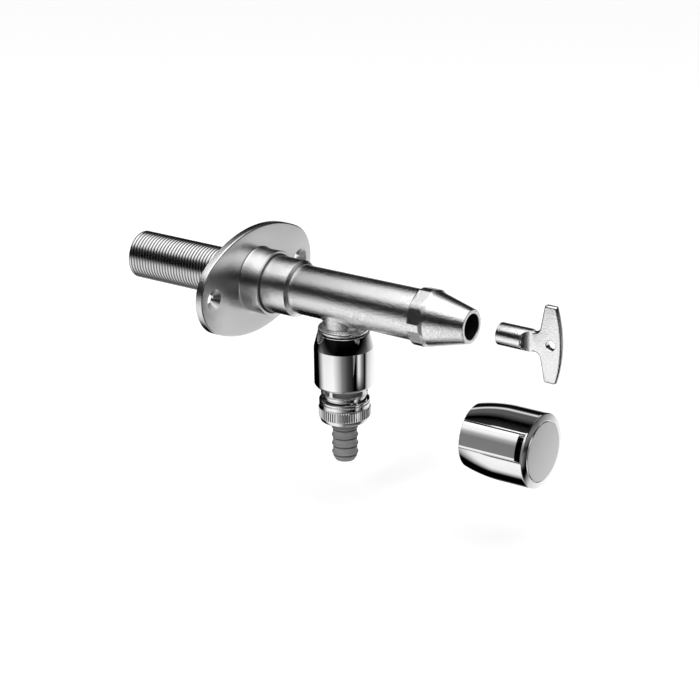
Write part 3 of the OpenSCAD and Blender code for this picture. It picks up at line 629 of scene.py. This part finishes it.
def makeSleeve():
    b = SimpleNamespace(**breaker)
    hole, bore, outer, end = b.sleeveHole, b.sleeveBore, b.sleeveRadius, b.sleeveEnd
    sleeve = turned(onBranch, softened([
        (hole, b.sleeveTop), (b.topRadius, b.sleeveTop, 0.5), (outer, b.taperEnd, 0.35),
        (outer, end, 0.5), (bore, end, 0.2), (bore, b.taperEnd),
        (b.roofRadius, b.roof), (hole, b.roof)]), segments=192)
    addPiece("breakerSleeve", tidy(sleeve, "breakerSleeve"), "tap", ["breaker_sleeve"],
             "sleeveChrome")


def makeBody():
    b = SimpleNamespace(**breaker)
    slope = (b.ventFoot - b.ventTopRadius) / (b.ventEnd - b.ventTop)
    ventEdge = b.ventTopRadius + slope * (b.windowTop - b.ventTop)
    hole, radius, chamber, throat = b.bodyHole, b.bodyRadius, b.chamber, b.throat
    upper = turned(onBranch, softened([
        (hole, b.bodyTop), (b.bodyTopRadius, b.bodyTop), (radius, b.taperEnd),
        (radius, b.ventTop), (b.ventTopRadius, b.ventTop, 0.15), (ventEdge, b.windowTop, 0.15),
        (chamber, b.windowTop), (chamber, b.throatEnd), (throat, b.throatEnd),
        (throat, b.throatTop), (hole, b.throatTop)]))
    root = b.threadRadius - b.threadDepth
    foot, groove, wide = b.footRadius, b.footGroove, b.grooveHalf
    lower = turned(onBranch, softened([
        (chamber, b.windowEnd), (foot, b.windowEnd, 0.2), (foot, groove - wide, 0.1),
        (foot - b.grooveDepth, groove), (foot, groove + wide, 0.1), (foot, b.ventEnd, 0.2),
        (root, b.ventEnd), (root, b.threadEnd, 0.4), (b.bore, b.threadEnd),
        (b.bore, b.chamberEnd), (chamber, b.chamberEnd)]))
    addPiece("breakerBody", tidy(joined([upper, lower]), "breakerBody"), "tap", ["breaker_body"],
             "breakerChrome")


def makeRibs():  # upright posts that flare where they meet the body
    b = SimpleNamespace(**breaker)
    half = radians(b.ribWidth / 2)
    middle = -radians(b.ribTurn)
    inner, outer = b.chamber + b.ribIn, b.footRadius - b.ribBack
    top, end = b.windowTop, b.windowEnd
    rows = []
    for s, wider in ((top - b.ribLap, b.ribFlare), (top + b.flareHeight, 1.0),
                     (end - b.flareHeight, 1.0), (end + b.ribLap, b.ribFlare)):
        w = half * wider
        face = w * b.ribFace
        section = [(inner, -w), (outer - b.ribEdge, -w), (outer, -face), (outer, 0.0), (outer, face),
                   (outer - b.ribEdge, w), (inner, w)]
        rows.append([onBranch(r, middle + aside, s) for r, aside in section])
    ribs = grown("ventRibs", tidy(capped(rows), "rib"), "round", "breakerChrome",
                 {"Count": b.ribs, "Centre": branchCentre, "Axis": (0.0, 0.0, 1.0)})
    addPiece("ventRibs", ribs, "tap", [], "breakerChrome")


def makeThread():
    b = SimpleNamespace(**breaker)
    foot = b.threadEnd - b.ridgeIn
    length = foot - b.ventEnd - b.threadGap
    thread = grown("hoseThread", bpy.data.meshes.new("seed"), "helix", "breakerChrome", {
        "Radius": (b.threadRadius - b.ridge / 2) * mm, "Turns": length / b.threadPitch,
        "Height": length * mm, "Ridge": b.ridge * mm, "Base": b.ridgeBase * mm,
        "Crest": b.ridgeCrest * mm, "Foot": (0.0, -places["branchOut"] * mm, -foot * mm)}, 50)
    addPiece("hoseThread", thread, "tap", [], "breakerChrome")


makeSleeve()
makeBody()
makeRibs()
makeThread()
print("breaker made")

# hose union: ringed and knurled nut
union = {
    "top": 63.5, "topRadius": 15.3, "bandEnd": 64.9, "groove": 0.6, "grooveWidth": 0.7, "taper": 0.15,
    "taperGap": 0.7, "knurlStart": 68.3, "knurlEnd": 74.7, "knurlRadius": 15.8, "knurlDepth": 0.5,
    "knurlLap": 0.1, "teeth": 66, "toothShare": 0.92, "toothFlat": 0.25, "toothEnd": 0.5, "sunk": 0.05,
    "end": 77.2, "endRadius": 14.5, "bore": 13.52, "hole": 8.97, "lipStart": 74.95,
}


def makeUnion():
    u = SimpleNamespace(**union)
    base = u.knurlRadius - u.knurlDepth
    rim, band, groove, lap = u.topRadius, u.bandEnd, u.grooveWidth, u.knurlLap
    nut = turned(onBranch, softened([
        (u.bore, u.top), (rim, u.top, 0.45), (rim, band, 0.3),
        (rim - u.groove, band + groove / 2, 0.1), (rim, band + groove, 0.3),
        (rim - u.taper, u.knurlStart - u.taperGap, 0.3), (base, u.knurlStart + lap),
        (base, u.knurlEnd - lap), (u.endRadius, u.end, 0.5), (u.hole, u.end, 0.2),
        (u.hole, u.lipStart), (u.bore, u.lipStart)]), segments=192)
    addPiece("unionNut", tidy(nut, "unionNut"), "union_nut", ["union_nut"], "unionChrome")

    half = pi / u.teeth * u.toothShare
    flat = half * u.toothFlat
    foot, deep = base - u.sunk, base - 2 * u.sunk
    rows = []
    for s, rise in ((u.knurlStart, 0.0), (u.knurlStart + u.toothEnd, 1.0),
                    (u.knurlEnd - u.toothEnd, 1.0), (u.knurlEnd, 0.0)):
        top = foot + (u.knurlRadius - foot) * rise
        section = [(deep, -half), (foot, -half), (top, -flat), (top, flat), (foot, half), (deep, half)]
        rows.append([onBranch(r, turn, s) for r, turn in section])
    teeth = grown("unionKnurl", tidy(capped(rows), "tooth"), "round", "unionChrome",
                  {"Count": u.teeth, "Centre": branchCentre, "Axis": (0.0, 0.0, 1.0)})
    addPiece("unionKnurl", teeth, "union_nut", [], "unionChrome")


# hose tail: flange held by the nut, and ribs with a groove under each, as (rise, along, rounding)
tail = {
    "flangeTop": 72.45, "flangeEnd": 74.65, "flangeRadius": 13.22, "edge": 0.3, "bore": 5.0,
    "radius": 7.35, "ribs": 4, "pitch": 5.5, "firstRib": 82.0, "end": 103.5, "tip": 1.5, "tipHeight": 2.6,
    "rib": ((-0.3, -0.8), (0.155, -0.75, 0.2), (0.62, -0.3, 0.3), (0.62, 0.45, 0.12), (-0.3, 0.5)),
    "groove": ((0.0, 0.5), (-1.4, 0.55), (-1.4, 1.5), (0.0, 1.85, 0.2)),
}


def makeTail():
    t = SimpleNamespace(**tail)
    r, bore, wide, edge = t.radius, t.bore, t.flangeRadius, t.edge
    outline = [(bore, t.flangeTop), (wide, t.flangeTop, edge), (wide, t.flangeEnd, edge),
               (r, t.flangeEnd)]
    for i in range(t.ribs):
        s = t.firstRib + i * t.pitch
        outline += [(r + rise, s + along, *soft) for rise, along, *soft in t.groove]
    outline += [(r, t.end - t.tipHeight, 1.6), (r - t.tip, t.end, 0.8), (bore, t.end, edge)]
    plain = turned(onBranch, softened(outline, 6))
    addPiece("hoseTail", tidy(plain, "hoseTail"), "hose_tail", ["hose_tail"],
             "tailPlastic")
    ridge = softened([(r + rise, t.firstRib + along, *soft) for rise, along, *soft in t.rib])
    ribs = grown("tailRibs", tidy(turned(onBranch, ridge), "rib"), "row", "tailPlastic",
                 {"Count": t.ribs, "Step": (0.0, 0.0, -t.pitch * mm)})
    addPiece("tailRibs", ribs, "hose_tail", [], "tailPlastic")


makeUnion()
makeTail()
print("union made")

# loose key: shaft that ramps down to a flat bow with a hanging hole
keySizes = {
    "start": 177.5, "radius": 6.7, "rampStart": 193.5, "rampEnd": 199.7, "socket": 6.6,
    "socketDepth": 15.0, "thick": 4.0, "neck": 6.2, "bowStart": 203.8, "bowEnd": 218.7, "height": 47.2,
    "tipIn": 3.4, "corner": 1.6, "edgeRadius": 75.0, "fillet": 4.0, "hole": 2.9, "holeIn": 7.0,
    "holeEdge": 0.4, "edge": 1.45, "edgeDepth": 1.9, "segments": 240,
}


def arc(x, z, r, a, b, n):
    turns = [a + (b - a) * i / n for i in range(n + 1)]
    return [(x + r * cos(turn), z + r * sin(turn)) for turn in turns]


def bowOutline():  # upper half from neck to outer edge, then mirrored, as (out, height)
    k = SimpleNamespace(**keySizes)
    c, tip, big, up = k.corner, k.height / 2 - k.corner, k.edgeRadius, pi / 2
    lean = atan(k.tipIn / (k.height / 2 - k.neck))
    inner = k.bowStart + (c + (tip - k.neck) * sin(lean)) / cos(lean)
    edgeTurn = asin(tip / (big - c))
    outer = k.bowEnd - big + (big - c) * cos(edgeTurn)
    filletOut = k.bowStart - k.fillet * (1 - sin(lean)) / cos(lean)
    half = [(k.rampStart, k.neck)]
    half += arc(filletOut, k.neck + k.fillet, k.fillet, -up, -lean, 10)
    half += arc(inner, tip, c, pi - lean, up, 6)
    half += arc(outer, tip, c, up, edgeTurn, 6)
    half += arc(k.bowEnd - big, 0.0, big, edgeTurn, 0.0, 16)[1:]
    return half + [(x, -z) for x, z in half[-2::-1]]


def makeShaft():  # round shaft, flattened along the ramp, with the square socket
    k = SimpleNamespace(**keySizes)
    r, rampStart, ramp = k.radius, k.rampStart, k.rampEnd - k.rampStart

    def halfWidth(s):
        t = max(0.0, (s - rampStart) / ramp)
        return r + (k.thick / 2 - r) * (1 - (1 - t) ** 2 * (1 - 0.5 * t))

    stations = [tuple(p) for p in softened([(0.0, k.start), (r, k.start, 0.5), (r, rampStart)])]
    stations += [(r, rampStart + ramp * i / 10) for i in range(1, 11)]
    stations.append((0.0, k.rampEnd))
    rows = []
    for radius, s in stations:
        w = halfWidth(s) * mm
        row = []
        for i in range(k.segments if radius > 0 else 1):
            p = onTap(radius, tau * i / k.segments, s)
            p.x = max(-w, min(w, p.x))
            row.append(p)
        rows.append(row)
    shaft = bmesh.new()
    skin(shaft, rows)
    a = k.socket / 2
    square = ((-a, -a), (a, -a), (a, a), (-a, a))
    socket = capped([[Vector((x, -s, z)) * mm for x, z in square]
                     for s in (k.start - 1, k.start + k.socketDepth)])
    return withCut(tidy(shaft, "keyShaft"), [socket], "keyShaft", 12)


def makeBow():  # flat bow with rounded edges and the hanging hole
    k = SimpleNamespace(**keySizes)
    outline = bowOutline()
    h = k.thick / 2

    def inset(d):
        moved = []
        for i, (x, z) in enumerate(outline):
            before, after = outline[i - 1], outline[(i + 1) % len(outline)]
            along = Vector((after[0] - before[0], after[1] - before[1])).normalized()
            moved.append((x + along.y * d, z - along.x * d))
        return moved

    edge = [(k.edge * (1 - sin(t)), h - k.edgeDepth * (1 - cos(t))) for t in quarter]
    rings = [(d, -x) for d, x in edge] + edge[::-1]
    bow = capped([[Vector((x, -o, z)) * mm for o, z in inset(d)] for d, x in rings])

    def acrossBow(r, turn, s):
        return Vector((s, -(k.bowEnd - k.holeIn) + r * cos(turn), r * sin(turn))) * mm

    hole, bevel, out = k.hole, k.holeEdge, 0.01
    hang = turned(acrossBow, [
        (0.0, -h - bevel), (hole + bevel, -h - out), (hole, -h + bevel), (hole, h - bevel),
        (hole + bevel, h + out), (0.0, h + bevel)], segments=48)
    return withCut(tidy(bow, "keyBow"), [hang], "keyBow", 25)


def makeKey():
    whole = bmesh.new()
    whole.from_mesh(makeShaft())
    whole.from_mesh(makeBow())
    mesh = bpy.data.meshes.new("key")
    whole.to_mesh(mesh)
    whole.free()
    sharpAt(mesh, 20)
    addPiece("tapKey", mesh, "key", ["key"], "keyMetal")


makeKey()
print("key made")

# loose knob: flared lobes between three flutes, and the disc in its end
knob = {
    "length": 46.3, "rear": 18.85, "rearEdge": 0.35, "lobe": 19.25, "widest": 22.5, "flare": 24.076,
    "rim": 0.8, "rimStart": 44.1, "rimIn": 18.4, "rimEnd": 45.75, "rimStep": 0.3, "disc": 17.9,
    "discRecess": 2.0, "discGap": 0.1, "discEdge": 0.35, "flutes": 3, "fluteWidth": 16.5,
    "fluteTurn": 157.0, "fluteSoft": 0.3, "lobeEdge": 0.012, "rampBack": 8.6, "rampFront": 2.4,
    "rampFlat": 0.5, "rampRadius": 22.0, "hollow": 16.9, "hollowDepth": 25.5, "hollowEdge": 0.4,
    "insert": 6.75, "insertEnd": 7.0,
}


def makeKnob():
    k = SimpleNamespace(**knob)
    length, rimStart, rim, rear = k.length, k.rimStart, k.rim, k.rear
    fluteEnd, rampStart = length - k.rampFront, length - k.rampBack

    def lobeRadius(s):
        if s <= rimStart:
            return k.lobe + (k.widest - k.lobe) * (1 - max(0.0, 1 - s / k.flare) ** 2)
        return k.widest - rim + sqrt(max(rim ** 2 - (s - rimStart) ** 2, 0.0))

    def floorRadius(s):
        if s >= fluteEnd:
            return lobeRadius(s)
        ramp = (s - rampStart) / (k.rampBack - k.rampFront - k.rampFlat)
        return min(rear + (k.rampRadius - rear) * max(0.0, min(1.0, ramp)), lobeRadius(s))

    def wall(r):  # half angle of a flute at a radius
        return asin(k.fluteWidth / 2 / r)

    outline = [0.0, k.rearEdge, fluteEnd - 0.02, fluteEnd, rampStart, fluteEnd - k.rampFlat]
    outline += [rimStart * i / 28 for i in range(1, 29)]
    outline += [rimStart + rim * sin(radians(a)) for a in range(8, 75, 8)]
    third, edge = tau / k.flutes, k.lobeEdge
    rows = []
    for s in sorted(set(outline)):
        shrink = 0.0 if s else k.rearEdge
        top, low = lobeRadius(s) - shrink, floorRadius(s) - shrink
        soft = min(k.fluteSoft, (top - low) / 2)
        corner, root = top - soft, low + soft * 0.3
        span = third - 2 * wall(top) - 2 * edge
        row = []
        for i in range(k.flutes):
            middle = radians(k.fluteTurn) + third * i
            row += [(low, middle + wall(low) * (1.96 * j / 24 - 0.98)) for j in range(25)]
            row += [(root, middle + wall(low)), (corner, middle + wall(corner))]
            row += [(top, middle + wall(top) + edge + span * j / 32) for j in range(33)]
            row += [(corner, middle + third - wall(corner)), (root, middle + third - wall(low))]
        rows.append([onKnob(r, turn, s) for r, turn in row])
    turns = [atan2(p.z / mm + places["knobDrop"], p.x / mm) for p in rows[0]]
    front, depth, recess = length - k.discRecess, k.hollowDepth, k.disc + k.discGap
    insert, insertEnd, hollow, bevel = k.insert, length - k.insertEnd, k.hollow, k.hollowEdge
    for r, s in ((k.rimIn, k.rimEnd), (recess, k.rimEnd - k.rimStep), (recess, front), (0.0, front),
                 (0.0, insertEnd), (insert, insertEnd), (insert, depth), (hollow, depth), (hollow, bevel),
                 (hollow + bevel, 0.0)):
        rows.append([onKnob(r, turn, s) for turn in turns] if r > 0 else [onKnob(0.0, 0.0, s)])
    form = bmesh.new()
    skin(form, rows)
    addPiece("knobShell", tidy(form, "knobShell", 24), "knob", ["knob_shell"], "knobChrome")
    disc = turned(onKnob, softened([
        (0.0, front), (k.disc, front), (k.disc, length, k.discEdge), (0.0, length)]))
    addPiece("knobDisc", tidy(disc, "knobDisc"), "knob", ["knob_disc"], "discMetal")


makeKnob()
for loose in ("tapKey", "knobShell", "knobDisc"):  # the loose pieces stay out of the tap's shine
    bpy.data.objects[loose].visible_glossy = False
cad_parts["knob_insert"].visible_glossy = False
print("knob made")

# the pieces inside keep their solids and get their finish
inside = {
    "sealRubber": ("collar_seal", "inlet_seal", "bonnet_seal", "stem_seals", "valve_washer", "branch_seal",
                   "poppet_seal", "vent_ring", "union_washer"),
    "rawBrass": ("inlet_body", "valve_cup", "washer_screw"),
    "guidePlastic": ("stem_guide", "check_poppet"),
    "stemMetalAndBoreShade": ("stem", "knob_insert"),
    "ventPlastic": ("breaker_core",),
}
for finishName, nodeNames in inside.items():
    for nodeName in nodeNames:
        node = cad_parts[nodeName]
        node.data.materials.clear()
        node.data.materials.append(finishes[finishName])
print("inner pieces finished:", sum(len(nodeNames) for nodeNames in inside.values()))

# studio: pale floor, and a sky bright above, dark along the horizon and broken below by dark stretches
# stops are (degrees, tone): upper, lower, fill and streakBand by height, the others around from the front
studio = {
    "floorDrop": 0.13, "floorSize": 14.0, "floorTone": 0.9, "floorRough": 0.9, "floorGlow": 0.28,
    "skyLevel": 1.12, "domeLevel": 1.2,
    "upper": ((10, 0.0), (30, 0.01), (44, 0.03), (50, 0.15), (55, 0.85), (70, 1.0)),
    "lean": ((-165, 0.0), (-154, 1.0), (-95, 1.0), (-75, 0.0)),
    "leanBy": 9.0,
    "lower": ((-90, 0.4), (-58, 0.88), (-28, 0.93), (-15, 0.78), (1, 0.05), (5, 0.0)),
    "around": ((-171, 0.0), (-160, 0.29), (-142, 0.92), (-99, 1.0), (-62, 0.2), (-40, 0.05), (-15, 0.0),
               (34, 0.0), (48, 0.68), (80, 1.0), (121, 1.0), (129, 0.1), (136, 0.0)),
    "fill": ((-90, 0.24), (-65, 0.3), (-46, 0.06), (-36, 0.0), (-14, 0.0), (-6, 0.18), (1, 0.03),
             (5, 0.0), (28, 0.0), (33, 0.5), (54, 0.5)),
    "front": ((-70, 0.0), (-50, 1.0), (50, 1.0), (70, 0.0)),
    "streak": ((-6, 0.0), (3, 0.8), (9, 0.65), (16, 0.25), (30, 0.0)),
    "streakBand": ((-29, 0.0), (-25, 1.0), (-17, 1.0), (-13, 0.0)),
}


def makeSky():
    world = bpy.data.worlds.new("studio")
    scene.world = world
    world.use_nodes = True
    tree = world.node_tree
    tree.nodes.clear()
    where = addNode(tree, "ShaderNodeTexCoord")
    split = addNode(tree, "ShaderNodeSeparateXYZ")
    wire(tree, (where, "Generated", split, "Vector"))

    def step(operation, a, b=None):
        node = addNode(tree, "ShaderNodeMath", operation=operation)
        for socket, value in zip(node.inputs, (a, b)):
            if isinstance(value, float):
                socket.default_value = value
            elif value is not None:
                tree.links.new(value, socket)
        return node.outputs["Value"]

    def ramp(value, reach, stops):
        limit = radians(reach)
        span = addNode(tree, "ShaderNodeMapRange", {"From Min": -limit, "From Max": limit})
        tree.links.new(value, span.inputs["Value"])
        tones = addNode(tree, "ShaderNodeValToRGB")
        fillRamp(tones, [((angle + reach) / (2 * reach), tone) for angle, tone in stops])
        wire(tree, (span, "Result", tones, "Fac"))
        return tones.outputs["Color"]

    height = step("ARCSINE", split.outputs["Z"])
    around = step("ARCTAN2", split.outputs["X"], step("MULTIPLY", split.outputs["Y"], -1.0))
    byHeight = {name: ramp(height, 90, studio[name]) for name in ("lower", "fill", "streakBand")}
    byTurn = {name: ramp(around, 180, studio[name]) for name in ("around", "front", "streak", "lean")}
    fill = step("MULTIPLY", byHeight["fill"], byTurn["front"])
    low = step("MAXIMUM", step("MULTIPLY", byHeight["lower"], byTurn["around"]), fill)
    streak = step("MULTIPLY", byHeight["streakBand"], byTurn["streak"])
    leaning = step("ADD", height, step("MULTIPLY", byTurn["lean"], radians(studio["leanBy"])))
    dome = step("MULTIPLY", ramp(leaning, 90, studio["upper"]), studio["domeLevel"])
    level = step("MULTIPLY", step("ADD", step("ADD", dome, low), streak), studio["skyLevel"])

    path = addNode(tree, "ShaderNodeLightPath")
    glow = addNode(tree, "ShaderNodeBackground")
    white = addNode(tree, "ShaderNodeBackground", {"Color": (1.0, 1.0, 1.0, 1.0)})
    pick = addNode(tree, "ShaderNodeMixShader")
    result = addNode(tree, "ShaderNodeOutputWorld")
    tree.links.new(level, glow.inputs["Color"])
    wire(tree, (path, "Is Camera Ray", pick, "Fac"), (glow, "Background", pick, 1),
         (white, "Background", pick, 2), (pick, "Shader", result, "Surface"))


def makeFloor():
    form = bmesh.new()
    bmesh.ops.create_grid(form, x_segments=1, y_segments=1, size=studio["floorSize"] / 2)
    mesh = bpy.data.meshes.new("floor")
    form.to_mesh(mesh)
    form.free()
    floor = placed("floor", mesh)
    floor.location = (0.0, 0.0, -studio["floorDrop"])
    floor.visible_glossy = False
    paint = bpy.data.materials.new("paleFloor")
    paint.use_nodes = True
    tree = paint.node_tree
    shader = tree.nodes["Principled BSDF"]
    shader.inputs["Base Color"].default_value = (studio["floorTone"],) * 3 + (1.0,)
    shader.inputs["Roughness"].default_value = studio["floorRough"]
    shader.inputs["Specular IOR Level"].default_value = 0.0
    shader.inputs["Emission Color"].default_value = (1.0, 1.0, 1.0, 1.0)
    path = addNode(tree, "ShaderNodeLightPath")
    level = addNode(tree, "ShaderNodeMath", {1: studio["floorGlow"]}, operation="MULTIPLY")
    wire(tree, (path, "Is Camera Ray", level, 0), (level, "Value", shader, "Emission Strength"))
    mesh.materials.append(paint)


makeSky()
makeFloor()

# soft lamps for what isn't metal, kept out of the shine
lamps = {
    "keyLamp": {"place": (-1.5, 0.1, 0.8), "size": 0.9, "power": 17.0},
    "frontLamp": {"place": (0.2, -1.6, 0.7), "size": 1.2, "power": 5.0},
}
lampAim = Vector((0.0, -0.08, -0.04))


def makeLamp(name, place, size, power):
    light = bpy.data.lights.new(name, "AREA")
    light.size = size
    light.energy = power
    lamp = placed(name, light)
    aim = (lampAim - Vector(place)).to_track_quat("-Z", "Y")
    lamp.matrix_world = Matrix.LocRotScale(Vector(place), aim, None)
    lamp.visible_glossy = False


for lampName, values in lamps.items():
    makeLamp(lampName, **values)

# two one-sided flags beside the knob, seen only in the shine, each graded along one axis
flags = {
    "sideFlag": {
        "corners": ((-0.030, -0.135, -0.0330), (-0.030, -0.245, -0.0330),
                    (-0.030, -0.245, -0.0715), (-0.030, -0.135, -0.0715)),
        "axis": "Z", "span": (-0.0755, -0.0330),
        "tones": ((0.0, 0.22), (0.47, 0.2), (0.61, 0.4), (0.78, 0.98))},
    "topFlag": {
        "corners": ((-0.024, -0.130, -0.030), (0.026, -0.130, -0.030),
                    (0.026, -0.245, -0.030), (-0.024, -0.245, -0.030)),
        "axis": "X", "span": (-0.024, 0.026),
        "tones": ((0.0, 0.03), (0.24, 0.0), (0.31, 0.0), (0.5, 0.1), (0.68, 0.1), (0.8, 0.9), (0.95, 0.05))},
}


def makeFlag(name, corners, axis, span, tones):
    form = bmesh.new()
    form.faces.new([form.verts.new(corner) for corner in corners])
    mesh = bpy.data.meshes.new(name)
    form.to_mesh(mesh)
    form.free()
    card = placed(name, mesh)
    card.visible_camera = card.visible_diffuse = card.visible_shadow = card.visible_transmission = False
    paint = bpy.data.materials.new(name)
    paint.use_nodes = True
    tree = paint.node_tree
    tree.nodes.clear()
    where = addNode(tree, "ShaderNodeTexCoord")
    split = addNode(tree, "ShaderNodeSeparateXYZ")
    fade = addNode(tree, "ShaderNodeMapRange", {"From Min": span[0], "From Max": span[1]})
    grade = addNode(tree, "ShaderNodeValToRGB")
    fillRamp(grade, tones)
    lit = addNode(tree, "ShaderNodeEmission")
    clear = addNode(tree, "ShaderNodeBsdfTransparent")
    side = addNode(tree, "ShaderNodeNewGeometry")
    pick = addNode(tree, "ShaderNodeMixShader")
    result = addNode(tree, "ShaderNodeOutputMaterial")
    wire(tree, (where, "Object", split, "Vector"), (split, axis, fade, "Value"),
         (fade, "Result", grade, "Fac"), (grade, "Color", lit, "Color"),
         (side, "Backfacing", pick, "Fac"), (lit, "Emission", pick, 1), (clear, "BSDF", pick, 2),
         (pick, "Shader", result, "Surface"))
    mesh.materials.append(paint)


for flagName, values in flags.items():
    makeFlag(flagName, **values)

# camera at the photograph's viewing angle
view = {
    "place": (-1.25587, -0.94384, 0.55821), "right": (0.565895, -0.824369, -0.013362),
    "up": (0.304059, 0.193605, 0.932773), "back": (-0.766362, -0.531914, 0.360217),
    "lens": 140.957, "sensor": 36.0, "near": 0.1, "far": 60.0,
}
lensData = bpy.data.cameras.new("camera")
lensData.lens = view["lens"]
lensData.sensor_width = view["sensor"]
lensData.clip_start = view["near"]
lensData.clip_end = view["far"]
camera = placed("camera", lensData)
axes = Matrix((view["right"], view["up"], view["back"])).transposed().to_4x4()
camera.matrix_world = Matrix.Translation(view["place"]) @ axes
scene.camera = camera
scene.view_settings.view_transform = "Standard"
print("studio and camera set")

bpy.context.view_layer.update()
